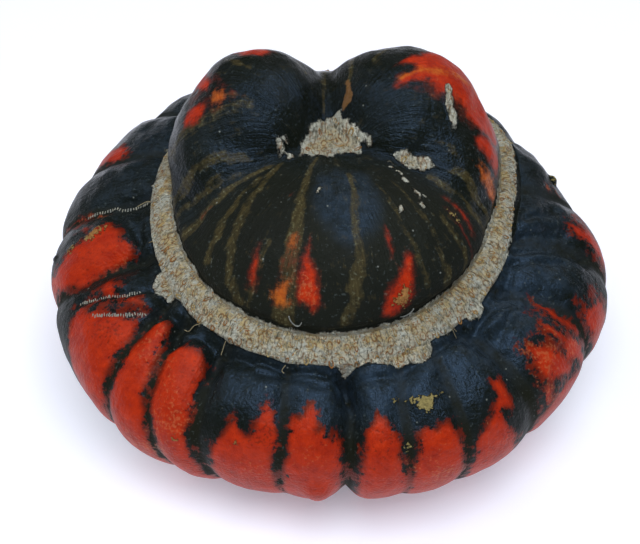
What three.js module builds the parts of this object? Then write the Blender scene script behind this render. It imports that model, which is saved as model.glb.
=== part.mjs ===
// Turban squash standing on its stem end: a ribbed ring of fruit with a three-lobed cap growing out of it,
// a cork band where the two meet, and a cut stem stub in the hollow underneath.
// Millimetres, +Z up, front towards -Y. The origin is on the table, below the middle of the fruit's box.
// A bearing is an angle around the fruit in degrees: 0 at the front, growing towards +X.
import * as THREE from "three";

// The ring of fruit below the band
const WIDTH = 238;
const DEPTH = 218;
const GIRTH_HEIGHT = 55; // where the ring is widest, lower at the front
const GIRTH_TILT = Math.tan(THREE.MathUtils.degToRad(5));
const FOOT_OUTER = 58; // flat patch that it stands on, as two radii
const FOOT_INNER = 50;
const BASIN_DEPTH = 16; // hollow around the stem
const STEM_SEAT = 15; // flat middle of the hollow, as a radius
const LOWER_FLANK_POWER = 1.22; // roundness below and above the girth
const UPPER_FLANK_POWER = 1.25;

// The cork band, tilted down towards the front
const BAND_RADIUS = 76;
const BAND_HEIGHT = 92;
const BAND_TILT = Math.tan(THREE.MathUtils.degToRad(12));
const BAND_REAR_DROP = 3.5;
const BAND_INWARD = 8.5;
const BAND_RISE = 8;

// Uneven growth, each as a bearing, a half width in degrees and a height in millimetres
const BAND_SWELLINGS = [
  { bearing: 118, spread: 28, height: 9 },
  { bearing: -85, spread: 40, height: -2 },
];
const GIRTH_SWELLINGS = [
  { bearing: -138, spread: 18, height: 6 },
  { bearing: -112, spread: 16, height: 1 },
  { bearing: -42, spread: 16, height: 2.5 },
  { bearing: -14, spread: 22, height: -3.5 },
  { bearing: 30, spread: 18, height: 1.5 },
  { bearing: 66, spread: 16, height: -1 },
  { bearing: 88, spread: 14, height: 3.5 },
  { bearing: 118, spread: 24, height: -13 },
];

// Furrows between the ribs: bearing at the shoulder, bearing at the girth, depth, half width in degrees
const FURROWS = [
  [4, 4, 9, 3],
  [21, 17, 2.5, 3],
  [33, 31, 2.2, 3],
  [37, 50, 5.5, 4],
  [58, 66, 5, 4],
  [78, 84, 4.5, 4],
  [97, 101, 4, 5],
  [118, 120, 5, 5],
  [138, 139, 4.5, 5],
  [160, 160, 5, 5],
  [-176, -176, 5, 5],
  [-154, -154, 5, 5],
  [-133, -133, 5, 5],
  [-113, -113, 4.5, 5],
  [-92, -96, 5, 4],
  [-72, -80, 5.5, 4],
  [-62, -62, 4.5, 4],
  [-47, -46, 4.5, 4],
  [-30, -27, 6, 4],
  [-12, -11, 2.5, 3],
];

// The cap: ellipsoids that run smoothly into each other
const CAP_CENTRE = new THREE.Vector3(0, 0, 90);
const CAP_BLEND = 5;
const CAP_ROOT = 0.12; // share of the cap's height over which it leaves the band
const LOBES = [
  { centre: new THREE.Vector3(2, 0, 80), radii: new THREE.Vector3(68, 64, 40) }, // core
  { centre: new THREE.Vector3(4, -19, 85), radii: new THREE.Vector3(62, 47, 39) }, // front lobe
  { centre: new THREE.Vector3(-29, 25, 117), radii: new THREE.Vector3(29.5, 30, 31) }, // left lobe
  { centre: new THREE.Vector3(30.5, 26, 115.5), radii: new THREE.Vector3(33, 32, 33) }, // right lobe
  { centre: new THREE.Vector3(-43, 17, 101), radii: new THREE.Vector3(25, 33, 33) }, // left flank
  { centre: new THREE.Vector3(47, 16, 98), radii: new THREE.Vector3(25, 36, 34) }, // right flank
  { centre: new THREE.Vector3(0, 31, 99), radii: new THREE.Vector3(30, 34, 30) }, // saddle at the rear
];

// The stem stub, five-sided and wider where it joins the fruit
const STEM_RADIUS = 10;
const STEM_FLARE = 13.5;
const STEM_BOTTOM = 4;
const STEM_CHAMFER = 1.2;
const STEM_RIDGES = 5;
const STEM_RIDGE_HEIGHT = 1.1;
const STEM_GAP = 0.3;

// How finely the surface is divided
const BEARINGS = 108;
const CAP_ROWS = 13;
const BAND_ROWS = 2;
const FLANK_ROWS = 15;
const BASIN_ROWS = 4;
const STEM_SIDES = 40;

const { degToRad, euclideanModulo, smoothstep } = THREE.MathUtils;

/** The signed difference between two bearings, from -180 to 180. */
function turn(bearing, other) {
  return euclideanModulo(bearing - other + 180, 360) - 180;
}

/** The sum of rounded swellings at a bearing. */
function swelling(bearing, list) {
  return list.reduce((sum, { bearing: middle, spread, height }) => {
    const away = turn(bearing, middle) / spread;
    return sum + height * Math.exp(-away * away);
  }, 0);
}

/** How deep the furrows are at a bearing; share runs from 0 at the foot to 1 at the band. */
function furrowDepth(bearing, share) {
  const towardsShoulder = smoothstep(share, 0.45, 1);
  const depths = FURROWS.map(([shoulder, girth, depth, halfWidth]) => {
    const middle = girth + (shoulder - girth) * towardsShoulder;
    return depth * Math.exp(-Math.pow(Math.abs(turn(bearing, middle)) / halfWidth, 1.5));
  });
  const shallowAtGirth = 0.55 + 0.45 * Math.abs(2 * share - 1);
  const fades = smoothstep(share, 0, 0.12) * (1 - 0.5 * smoothstep(share, 0.9, 1));
  return Math.max(...depths) * shallowAtGirth * fades;
}

/** The widest line of the ring at a bearing: its radius and height. */
function girthLine(bearing) {
  const angle = degToRad(bearing);
  const oval = 1 / Math.hypot((2 * Math.sin(angle)) / WIDTH, (2 * Math.cos(angle)) / DEPTH);
  const radius = oval + swelling(bearing, GIRTH_SWELLINGS);
  return { radius, height: GIRTH_HEIGHT - GIRTH_TILT * radius * Math.cos(angle) };
}

/** A point at a bearing, as its distance from the axis and its height. */
function around(bearing, radius, height) {
  const angle = degToRad(bearing);
  return new THREE.Vector3(radius * Math.sin(angle), -radius * Math.cos(angle), height);
}

/** The outer edge of the cork band at a bearing: its radius and height. */
function bandEdge(bearing) {
  const radius = BAND_RADIUS + swelling(bearing, BAND_SWELLINGS);
  const rearward = -Math.cos(degToRad(bearing));
  const drop = BAND_REAR_DROP * smoothstep(rearward, 0.3, 1);
  return { radius, height: BAND_HEIGHT + BAND_TILT * radius * rearward - drop };
}

/** A point of the hollow underneath; share runs from 0 at the stem's seat to 1 at the foot. */
function basinPoint(bearing, share) {
  const radius = THREE.MathUtils.lerp(STEM_SEAT, FOOT_INNER, share);
  return around(bearing, radius, BASIN_DEPTH * Math.cos((Math.PI / 2) * share) ** 2);
}

/** A point of the ribbed flank; share runs from 0 at the foot's outer edge to 1 at the band. */
function flankPoint(bearing, share) {
  const angle = degToRad(180 * share - 90);
  const across = Math.cos(angle);
  const upward = Math.sin(angle);
  const girth = girthLine(bearing);
  const edge = bandEdge(bearing);
  const below = share < 0.5;
  const radius = below
    ? FOOT_OUTER + (girth.radius - FOOT_OUTER) * Math.pow(across, LOWER_FLANK_POWER)
    : edge.radius + (girth.radius - edge.radius) * Math.pow(across, UPPER_FLANK_POWER);
  const height = girth.height + upward * (below ? girth.height : edge.height - girth.height);
  const furrow = furrowDepth(bearing, share);
  return around(bearing, radius - furrow * Math.max(across, 0.25), height - furrow * upward);
}

/** A point of the cork band; share runs from 0 at its outer edge to 1 at its inner edge. */
function bandPoint(bearing, share) {
  const edge = bandEdge(bearing);
  return around(bearing, edge.radius - BAND_INWARD * share, edge.height + BAND_RISE * share);
}

/** About how far a point is from the surface of one lobe, negative inside it. */
function lobeDistance(point, { centre, radii }) {
  const scaled = point.clone().sub(centre).divide(radii);
  const reach = scaled.length();
  return (reach * (reach - 1)) / scaled.divide(radii).length();
}

/** About how far a point is from the blended lobes. */
function capDistance(point) {
  const distances = LOBES.map((lobe) => lobeDistance(point, lobe));
  const nearest = Math.min(...distances);
  const blend = CAP_BLEND / 2;
  const crowd = distances.reduce((sum, away) => sum + Math.exp((nearest - away) / blend), 0);
  return nearest - blend * Math.log(crowd);
}

/** The distance from the cap's centre to its surface in a direction, walked inwards from outside it. */
function capReach(direction) {
  const outside = 120;
  const steps = 26;
  const stride = 0.9;
  let reach = outside;
  for (let step = 0; step < steps; step += 1) {
    const point = CAP_CENTRE.clone().addScaledVector(direction, reach);
    reach = Math.max(reach - stride * capDistance(point), 0);
  }
  return reach;
}

/** A point of the cap; share runs from 0 at the band's inner edge to 1 straight above the cap's centre. */
function capPoint(bearing, share) {
  const root = bandPoint(bearing, 1).sub(CAP_CENTRE);
  const rootRise = Math.asin(root.z / root.length());
  const rise = rootRise + (Math.PI / 2 - rootRise) * share;
  const direction = around(bearing, Math.cos(rise), Math.sin(rise));
  const reach = THREE.MathUtils.lerp(root.length(), capReach(direction), smoothstep(share, 0, CAP_ROOT));
  return CAP_CENTRE.clone().addScaledVector(direction, reach);
}

/** Equal shares from 0 up to, but not including, 1. */
function shares(count) {
  return Array.from({ length: count }, (_, index) => index / count);
}

/** The whole fruit: a sphere's grid of vertices laid over the hollow, foot, flank, band and cap. */
function fruitGeometry() {
  const rows = [
    () => new THREE.Vector3(0, 0, BASIN_DEPTH),
    ...shares(BASIN_ROWS).map((share) => (bearing) => basinPoint(bearing, share)),
    (bearing) => around(bearing, FOOT_INNER, 0),
    ...shares(FLANK_ROWS).map((share) => (bearing) => flankPoint(bearing, share)),
    ...shares(BAND_ROWS).map((share) => (bearing) => bandPoint(bearing, share)),
    ...shares(CAP_ROWS).map((share) => (bearing) => capPoint(bearing, share)),
    () => capPoint(0, 1),
  ];
  const geometry = new THREE.SphereGeometry(1, BEARINGS, rows.length - 1);
  const vertices = geometry.getAttribute("position");
  rows.reverse().forEach((pointOf, row) => {
    for (let column = 0; column <= BEARINGS; column += 1) {
      const bearing = (360 * (column % BEARINGS)) / BEARINGS;
      const { x, y, z } = pointOf(bearing);
      vertices.setXYZ(row * (BEARINGS + 1) + column, x, y, z);
    }
  });
  geometry.computeVertexNormals();
  return geometry;
}

/** The cut stem: a turned stub with five ridges, standing off the flat middle of the hollow. */
function stemGeometry() {
  const top = BASIN_DEPTH - STEM_GAP;
  const profile = [
    [0, STEM_BOTTOM],
    [STEM_RADIUS - STEM_CHAMFER, STEM_BOTTOM],
    [STEM_RADIUS, STEM_BOTTOM + STEM_CHAMFER],
    [STEM_RADIUS, (STEM_BOTTOM + top) / 2],
    [STEM_FLARE, top - STEM_CHAMFER],
    [STEM_FLARE, top],
    [0, top],
  ].map(([radius, height]) => new THREE.Vector2(radius, height));
  const geometry = new THREE.LatheGeometry(profile, STEM_SIDES).rotateX(Math.PI / 2);
  const vertices = geometry.getAttribute("position");
  const point = new THREE.Vector3();
  for (let index = 0; index < vertices.count; index += 1) {
    point.fromBufferAttribute(vertices, index);
    const radius = Math.hypot(point.x, point.y);
    const inFlute = 0.5 - 0.5 * Math.cos(STEM_RIDGES * Math.atan2(point.y, point.x));
    const narrowed = 1 - (STEM_RIDGE_HEIGHT / STEM_FLARE) * inFlute * (radius / STEM_FLARE);
    vertices.setXY(index, point.x * narrowed, point.y * narrowed);
  }
  geometry.computeVertexNormals();
  return geometry;
}

/** A named piece with its own material. */
function piece(name, geometry, material) {
  const mesh = new THREE.Mesh(geometry, new THREE.MeshStandardMaterial(material));
  mesh.name = name;
  return mesh;
}

const squash = piece("squash", fruitGeometry(), { color: 0x232a33, roughness: 0.38, metalness: 0 });
const stemStub = piece("stem_stub", stemGeometry(), { color: 0x9a8662, roughness: 0.9, metalness: 0 });

// The fruit is uneven, so its box is centred over the origin after it is shaped.
const turbanSquash = new THREE.Group();
const middle = new THREE.Box3().setFromObject(squash).getCenter(new THREE.Vector3());
turbanSquash.add(squash, stemStub);
turbanSquash.children.forEach((child) => child.position.set(-middle.x, -middle.y, 0));

export default turbanSquash;
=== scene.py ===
"""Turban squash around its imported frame: waxy rind, cork band, cork scars, stem stub, studio and camera."""

import logging
import math
from dataclasses import dataclass, field
from enum import Enum
from typing import Any

import bpy
import numpy as np
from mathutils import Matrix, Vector, noise


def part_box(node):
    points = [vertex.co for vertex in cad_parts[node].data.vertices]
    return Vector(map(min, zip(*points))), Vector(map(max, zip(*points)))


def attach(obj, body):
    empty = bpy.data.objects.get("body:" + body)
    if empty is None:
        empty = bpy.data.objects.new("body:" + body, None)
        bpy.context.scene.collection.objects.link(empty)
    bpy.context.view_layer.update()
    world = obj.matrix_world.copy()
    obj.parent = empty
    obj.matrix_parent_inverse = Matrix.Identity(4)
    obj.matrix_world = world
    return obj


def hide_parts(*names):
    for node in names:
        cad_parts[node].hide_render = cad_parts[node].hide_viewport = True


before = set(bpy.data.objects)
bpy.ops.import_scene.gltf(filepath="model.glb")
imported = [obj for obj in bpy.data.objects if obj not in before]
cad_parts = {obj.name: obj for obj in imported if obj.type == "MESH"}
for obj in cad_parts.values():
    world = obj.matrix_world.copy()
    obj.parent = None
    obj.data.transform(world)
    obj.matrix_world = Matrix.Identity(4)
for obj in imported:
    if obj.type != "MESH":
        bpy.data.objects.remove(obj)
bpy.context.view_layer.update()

LOG = logging.getLogger("turban_squash")
MM = 0.001
BAKE_UV = "OFBake"
# Distance of a point that no marking is near.
FAR_MM = 40.0

Array = np.ndarray
Path = tuple[tuple[float, float], ...]


class Zone(Enum):
    """Parts of the skin, from the stem end up."""

    BASIN = "basin"
    FLANK = "flank"
    BAND = "band"
    CAP = "cap"


class Mark(Enum):
    """Kinds of marking on the skin. The value names the attribute that holds the distance inside it, in mm."""

    RED = "red_mm"
    ORANGE = "orange_mm"
    SCAB = "scab_mm"
    CORK = "cork_mm"
    RUST = "rust_mm"


def smoothstep(low: float, high: float, value: Array) -> Array:
    """Rises smoothly from 0 at low to 1 at high.

    Args:
        low: Value where the rise starts.
        high: Value where it ends.
        value: Numbers to map.

    Returns:
        Numbers from 0 to 1.
    """
    share = np.clip((value - low) / (high - low), 0.0, 1.0)
    return share * share * (3.0 - 2.0 * share)


def turned(bearing: Array) -> Array:
    """Brings a difference of bearings into -180 to 180 degrees."""
    return (bearing + 180.0) % 360.0 - 180.0


def around(bearing: Array, radius: Array, height: Array) -> Array:
    """Points round the upright axis; bearing 0 faces the front, -Y, and grows towards +X.

    Args:
        bearing: Degrees.
        radius: Distance from the axis in mm.
        height: Height above the floor in mm.

    Returns:
        Points in mm, with x, y and z on the last axis.
    """
    angle = np.radians(bearing)
    return np.stack([radius * np.sin(angle), -radius * np.cos(angle), height + 0.0 * angle], -1)


def coherent(points: Array, size: float, seed: int) -> Array:
    """Smooth random field, from about -1 to 1.

    Args:
        points: Points in mm.
        size: Size of one swelling of the field in mm.
        seed: Picks the field.

    Returns:
        One number for each point.
    """
    shift = np.array([17.31, -9.17, 5.71]) * seed
    flat = points.reshape(-1, 3) / size + shift
    return np.array([noise.noise(Vector(point)) for point in flat]).reshape(points.shape[:-1])


def path_distance(x: Array, y: Array, corners: Array, closed: bool) -> Array:
    """Distance from points to a line of straight pieces.

    Args:
        x: First coordinate of the points.
        y: Second coordinate of the points.
        corners: The line's corners, one row each.
        closed: Whether the last corner joins the first.

    Returns:
        Distances, negative inside a closed line.
    """
    nearest = np.full(x.shape, 1e9)
    inside = np.zeros(x.shape, bool)
    count = len(corners)
    for index in range(count if closed else count - 1):
        (ax, ay), (bx, by) = corners[index], corners[(index + 1) % count]
        length = max((bx - ax) ** 2 + (by - ay) ** 2, 1e-9)
        along = np.clip(((x - ax) * (bx - ax) + (y - ay) * (by - ay)) / length, 0.0, 1.0)
        nearest = np.minimum(nearest, np.hypot(x - ax - along * (bx - ax), y - ay - along * (by - ay)))
        if closed and ay != by:
            crossing = ax + (y - ay) / (by - ay) * (bx - ax)
            inside ^= ((ay > y) != (by > y)) & (x < crossing)
    return np.where(inside, -nearest, nearest)


def linear(colour: str) -> tuple[float, float, float, float]:
    """Turns an sRGB hex colour to linear RGBA.

    Args:
        colour: Six hex digits after a hash sign.

    Returns:
        Linear red, green, blue and an alpha of 1.
    """
    shares = [int(colour[index:index + 2], 16) / 255.0 for index in (1, 3, 5)]
    parts = [c / 12.92 if c <= 0.04045 else ((c + 0.055) / 1.055) ** 2.4 for c in shares]
    return (parts[0], parts[1], parts[2], 1.0)


def per_mm(size: float) -> float:
    """Scale of a pattern on Object coordinates whose features are this many mm."""
    return 1.0 / (size * MM)


def add_node(tree: bpy.types.NodeTree, kind: str, inputs: dict | None = None, **settings: Any) -> bpy.types.Node:
    """Adds a node, with its settings and links.

    Args:
        tree: Tree that gets the node.
        kind: The node's type name.
        inputs: Socket name or index to a constant, or to the output or node that feeds it; of a node, its first
            output in use.
        settings: The node's own properties.

    Returns:
        The new node.
    """
    node = tree.nodes.new(kind)
    for name, value in settings.items():
        setattr(node, name, value)
    for key, value in (inputs or {}).items():
        if isinstance(value, bpy.types.Node):
            value = next(socket for socket in value.outputs if socket.enabled)
        if isinstance(value, bpy.types.NodeSocket):
            tree.links.new(value, node.inputs[key])
        else:
            node.inputs[key].default_value = value
    return node


def new_material(name: str) -> tuple[bpy.types.Material, bpy.types.NodeTree]:
    """Makes a material with an empty node tree.

    Args:
        name: What the real material is.

    Returns:
        The material and its tree.
    """
    material = bpy.data.materials.new(name)
    material.use_nodes = True
    material.node_tree.nodes.clear()
    return material, material.node_tree


def layered(tree: bpy.types.NodeTree, base: Any, *coats: tuple[Any, Any]) -> Any:
    """Lays colours over each other, like coats of paint.

    Args:
        tree: The material's tree.
        base: The lowest colour, as a hex string or a node.
        coats: The share that a coat covers, and its colour, from the lowest coat up.

    Returns:
        The node of the finished colour.
    """
    for share, colour in coats:
        pair = [linear(each) if isinstance(each, str) else each for each in (base, colour)]
        base = add_node(tree, "ShaderNodeMix", {0: share, 6: pair[0], 7: pair[1]}, data_type="RGBA")
    return base


def grid_quads(rows: int, columns: int) -> Array:
    """Faces of a grid of points that closes round its columns.

    Args:
        rows: Rows of the grid.
        columns: Columns of the grid.

    Returns:
        Four corner indices for each face.
    """
    at = np.arange(rows * columns).reshape(rows, columns)
    right = np.roll(at, -1, 1)
    return np.stack([at[:-1], right[:-1], right[1:], at[1:]], -1).reshape(-1, 4)


def closed_faces(rows: int, columns: int) -> list[list[int]]:
    """Faces of such a grid with a fan at each end, round two points that follow the grid's own.

    Args:
        rows: Rows of the grid.
        columns: Columns of the grid.

    Returns:
        Corner indices for each face.
    """
    total, last = rows * columns, (rows - 1) * columns
    ahead = [(index + 1) % columns for index in range(columns)]
    low = [[total, ahead[index], index] for index in range(columns)]
    high = [[total + 1, last + index, last + ahead[index]] for index in range(columns)]
    return grid_quads(rows, columns).tolist() + low + high


def new_object(name: str, mesh: bpy.types.Mesh) -> bpy.types.Object:
    """Links a mesh into the scene as an object at the origin.

    Args:
        name: Name of the object.
        mesh: Its mesh.

    Returns:
        The object.
    """
    thing = bpy.data.objects.new(name, mesh)
    bpy.context.scene.collection.objects.link(thing)
    return thing


def grown(name: str, source: bpy.types.Mesh, tree: bpy.types.NodeTree, values: dict[str, float]) -> bpy.types.Object:
    """Runs a Geometry Nodes tree on a mesh and keeps what grew as a plain mesh.

    Args:
        name: Name of the new piece.
        source: Mesh that the tree works on.
        tree: The tree.
        values: Values of the tree's named inputs.

    Returns:
        The new piece.
    """
    carrier = new_object(name + "_carrier", source)
    modifier = carrier.modifiers.new("grow", "NODES")
    modifier.node_group = tree
    for item in tree.interface.items_tree:
        if item.name in values:
            modifier[item.identifier] = values[item.name]
    graph = bpy.context.evaluated_depsgraph_get()
    mesh = bpy.data.meshes.new_from_object(carrier.evaluated_get(graph))
    carrier.modifiers.remove(modifier)
    bpy.data.objects.remove(carrier)
    return new_object(name, mesh)


def new_growth(name: str, inputs: dict[str, float]) -> tuple[bpy.types.NodeTree, dict[str, Any]]:
    """Makes a Geometry Nodes tree with a geometry input, named number inputs and a geometry output.

    Args:
        name: Name of the tree.
        inputs: Names and default values of the number inputs; whole numbers make integer inputs.

    Returns:
        The tree, and its input sockets by name.
    """
    tree = bpy.data.node_groups.new(name, "GeometryNodeTree")
    tree.interface.new_socket("Geometry", in_out="OUTPUT", socket_type="NodeSocketGeometry")
    tree.interface.new_socket("Geometry", in_out="INPUT", socket_type="NodeSocketGeometry")
    for key, value in inputs.items():
        kind = "NodeSocketInt" if isinstance(value, int) else "NodeSocketFloat"
        tree.interface.new_socket(key, in_out="INPUT", socket_type=kind).default_value = value
    entry = add_node(tree, "NodeGroupInput")
    return tree, {socket.name: socket for socket in entry.outputs}


def set_copies(tree: bpy.types.NodeTree, points: Any, shape: Any, turn: Any, size: Any, tones: tuple[float, float],
               seed: int) -> bpy.types.Node:
    """Sets copies of a shape on points and gives each copy a random tone.

    Args:
        tree: The tree.
        points: Node that gives the points.
        shape: Node that gives the shape.
        turn: Rotation of each copy.
        size: Scale of each copy.
        tones: Least and most of the attribute tone, which picks the colour.
        seed: Picks the tones.

    Returns:
        The node that gives the copies.
    """
    placed = add_node(tree, "GeometryNodeInstanceOnPoints", {
        "Points": points, "Instance": shape, "Rotation": turn, "Scale": size})
    tone = add_node(tree, "FunctionNodeRandomValue", {2: tones[0], 3: tones[1], "Seed": seed}, data_type="FLOAT")
    return add_node(tree, "GeometryNodeStoreNamedAttribute", {"Geometry": placed, "Name": "tone", "Value": tone},
                    domain="INSTANCE")


def end_growth(tree: bpy.types.NodeTree, geometry: bpy.types.Node, finish: bpy.types.Material) -> bpy.types.NodeTree:
    """Ends a Geometry Nodes tree: what grew becomes plain mesh and gets its material.

    Args:
        tree: The tree.
        geometry: Node that gives what grew.
        finish: The material.

    Returns:
        The finished tree.
    """
    real = add_node(tree, "GeometryNodeRealizeInstances", {"Geometry": geometry})
    dressed = add_node(tree, "GeometryNodeSetMaterial", {"Geometry": real, "Material": finish})
    add_node(tree, "NodeGroupOutput", {"Geometry": dressed})
    return tree


@dataclass(frozen=True)
class Swelling:
    """A rounded rise of a line that runs round the fruit: bearing and spread in degrees, height in mm."""

    bearing: float
    spread: float
    height: float

    def at(self, bearing: Array) -> Array:
        """Height of the swelling at a bearing."""
        return self.height * np.exp(-(turned(bearing - self.bearing) / self.spread) ** 2)


@dataclass(frozen=True)
class Furrow:
    """A valley between two ribs: depth in mm, half width in degrees, and its path as flank share and bearing."""

    depth: float
    width: float
    path: Path

    def bearing_at(self, share: Array) -> Array:
        """Bearing of the valley's bottom at a share of the flank."""
        return np.interp(share, [step[0] for step in self.path], [step[1] for step in self.path])


@dataclass(frozen=True)
class Lobe:
    """A rounded body of the cap, as an ellipsoid in mm."""

    centre: tuple[float, float, float]
    radii: tuple[float, float, float]

    def distance(self, points: Array) -> Array:
        """Distance from points to the lobe, negative inside.

        Args:
            points: Points in mm.

        Returns:
            Distances in mm.
        """
        scaled = (points - np.array(self.centre)) / np.array(self.radii)
        reach = np.linalg.norm(scaled, axis=-1)
        slope = np.linalg.norm(scaled / np.array(self.radii), axis=-1)
        return reach * (reach - 1.0) / np.maximum(slope, 1e-9)


@dataclass(frozen=True)
class Patch:
    """A marking with an outline of bearing and share."""

    mark: Mark
    zone: Zone
    outline: Path


@dataclass(frozen=True)
class Streak:
    """A line on the skin: bearing and share of its steps, half width in mm, and depth in mm or strength."""

    zone: Zone
    width: float
    strength: float
    path: Path


GIRTH_SWELLINGS = (
    Swelling(-138, 18, 6.0),
    Swelling(-112, 16, 1.0),
    Swelling(-42, 16, 2.5),
    Swelling(-14, 22, -3.5),
    Swelling(30, 18, 1.5),
    Swelling(66, 16, -1.0),
    Swelling(88, 14, 3.5),
    Swelling(118, 24, -13.0),
)
BAND_SWELLINGS = (Swelling(118, 28, 9.0), Swelling(-85, 40, -2.0))
# How much blue-grey wax bloom the shoulder carries, by bearing: real bloom, and painted sheen that makes the front and
# right shoulders lighter where the light falls.
BLOOM_SHEEN_SWELLINGS = (Swelling(8, 26, 0.8), Swelling(62, 30, 0.8), Swelling(-140, 40, 0.4))
# How far the cork stops short of the outer edge of its band.
CORK_INSETS = (Swelling(100, 34, 3.2), Swelling(-98, 26, 1.6))
FURROWS = (
    Furrow(12.0, 2.9, ((0.2, 3.5), (0.5, 4.0), (0.8, 5.2), (1.0, 4.0))),
    Furrow(2.2, 2.4, ((0.2, 17.0), (0.5, 16.6), (0.8, 17.5), (1.0, 21.0))),
    Furrow(2.6, 2.4, ((0.2, 29.0), (0.5, 29.0), (0.8, 29.5), (1.0, 31.0))),
    Furrow(6.0, 3.4, ((0.2, 48.0), (0.5, 47.0), (0.7, 45.5), (0.88, 44.0), (1.0, 37.5))),
    Furrow(5.0, 3.2, ((0.2, 70.0), (0.5, 68.0), (0.75, 66.0), (1.0, 59.0))),
    Furrow(4.5, 3.2, ((0.2, 86.0), (0.5, 85.0), (0.8, 83.0), (1.0, 78.0))),
    Furrow(2.4, 3.6, ((0.2, 102.0), (0.5, 101.0), (1.0, 97.0))),
    Furrow(3.4, 3.8, ((0.2, 120.0), (1.0, 118.0))),
    Furrow(4.5, 3.8, ((0.2, 139.0), (1.0, 138.0))),
    Furrow(5.0, 3.8, ((0.2, 160.0), (1.0, 161.0))),
    Furrow(5.0, 3.8, ((0.2, -176.0), (1.0, -177.0))),
    Furrow(5.0, 3.8, ((0.2, -154.0), (1.0, -155.0))),
    Furrow(4.0, 3.8, ((0.2, -133.0), (1.0, -133.0))),
    Furrow(3.0, 3.6, ((0.2, -113.0), (0.8, -112.0), (1.0, -113.0))),
    Furrow(5.0, 3.2, ((0.2, -98.0), (0.5, -96.5), (0.8, -94.5), (1.0, -93.5))),
    Furrow(5.5, 3.2, ((0.2, -84.0), (0.5, -80.0), (0.65, -76.5), (0.8, -74.4), (1.0, -72.0))),
    Furrow(5.0, 2.8, ((0.2, -50.0), (0.5, -50.8), (0.7, -52.6), (0.9, -53.6), (1.0, -56.0))),
    Furrow(4.5, 2.8, ((0.2, -35.0), (0.5, -38.5), (0.7, -42.0), (0.85, -44.5), (1.0, -47.0))),
    Furrow(6.0, 3.0, ((0.2, -25.0), (0.4, -27.0), (0.6, -29.4), (0.85, -31.0), (1.0, -31.0))),
    Furrow(2.4, 2.2, ((0.2, -11.0), (0.7, -10.3), (1.0, -12.0))),
)
LOBES = (
    Lobe((2, 0, 80), (68, 64, 40)),
    Lobe((4, -19, 85), (62, 47, 39)),
    Lobe((-29, 25, 117), (29.5, 30, 31)),
    Lobe((30.5, 26, 115.5), (33, 32, 33)),
    Lobe((-43, 17, 101), (25, 33, 33)),
    Lobe((47, 16, 98), (25, 36, 34)),
    Lobe((0, 31, 99), (30, 34, 30)),
)
CREASES = tuple(Streak(Zone.FLANK, *line) for line in (
    (3.0, 2.8, ((-46, 0.95), (-38, 0.955), (-30, 0.945), (-20, 0.955), (-8, 0.95), (2, 0.945))),
    (2.8, 3.0, ((29, 0.955), (33, 0.94), (37, 0.945), (42, 0.96))),
    (3.0, 2.0, ((46, 0.93), (54, 0.95), (62, 0.945), (70, 0.955))),
    (3.0, 1.8, ((-72, 0.94), (-64, 0.925), (-56, 0.95))),
    (2.4, 4.0, ((4.4, 0.955), (4.9, 0.91), (5.2, 0.84))),
    (2.3, 2.2, ((-19, 0.895), (-12, 0.912), (-5, 0.905), (1, 0.88), (3, 0.85))),
    (2.3, 1.7, ((7, 0.905), (14, 0.90), (22, 0.91), (29, 0.94))),
    (2.0, 1.9, ((-29, 0.92), (-25, 0.90), (-22, 0.93))),
    (2.0, 2.0, ((-60, 0.93), (-62, 0.88), (-66, 0.80), (-71, 0.69))),
    (1.8, 1.4, ((-56, 0.86), (-60, 0.80), (-65, 0.72))),
    (2.2, 2.6, ((74, 0.97), (78, 0.88), (81, 0.80), (82, 0.72))),
    (2.0, 2.2, ((70, 0.96), (74, 0.87), (77, 0.80))),
    (2.0, 2.3, ((80, 0.97), (84, 0.88), (86.5, 0.80))),
    (2.0, 2.0, ((86, 0.95), (90, 0.88), (93, 0.82))),
    (2.2, 2.3, ((40, 0.90), (47, 0.93), (54, 0.92), (60, 0.88))),
    (2.0, 1.7, ((48, 0.84), (55, 0.87), (61, 0.83))),
    (2.3, 2.9, ((-44, 0.86), (-41, 0.915), (-36.5, 0.935), (-32.8, 0.905), (-31, 0.85))),
    (2.3, 2.9, ((-53.6, 0.88), (-50.5, 0.93), (-47, 0.92), (-44.6, 0.87))),
    (2.2, 2.3, ((-74, 0.90), (-78, 0.945), (-84, 0.915), (-90, 0.86))),
    (2.2, 1.9, ((-90, 0.93), (-85, 0.95), (-78, 0.94))),
    (2.2, 2.0, ((118, 0.92), (128, 0.94), (136, 0.92))),
    (2.2, 2.0, ((145, 0.90), (152, 0.93), (158, 0.91))),
    (2.2, 2.0, ((165, 0.93), (173, 0.90), (180, 0.93))),
    (2.2, 2.0, ((-150, 0.91), (-143, 0.94), (-136, 0.91))),
))
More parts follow.
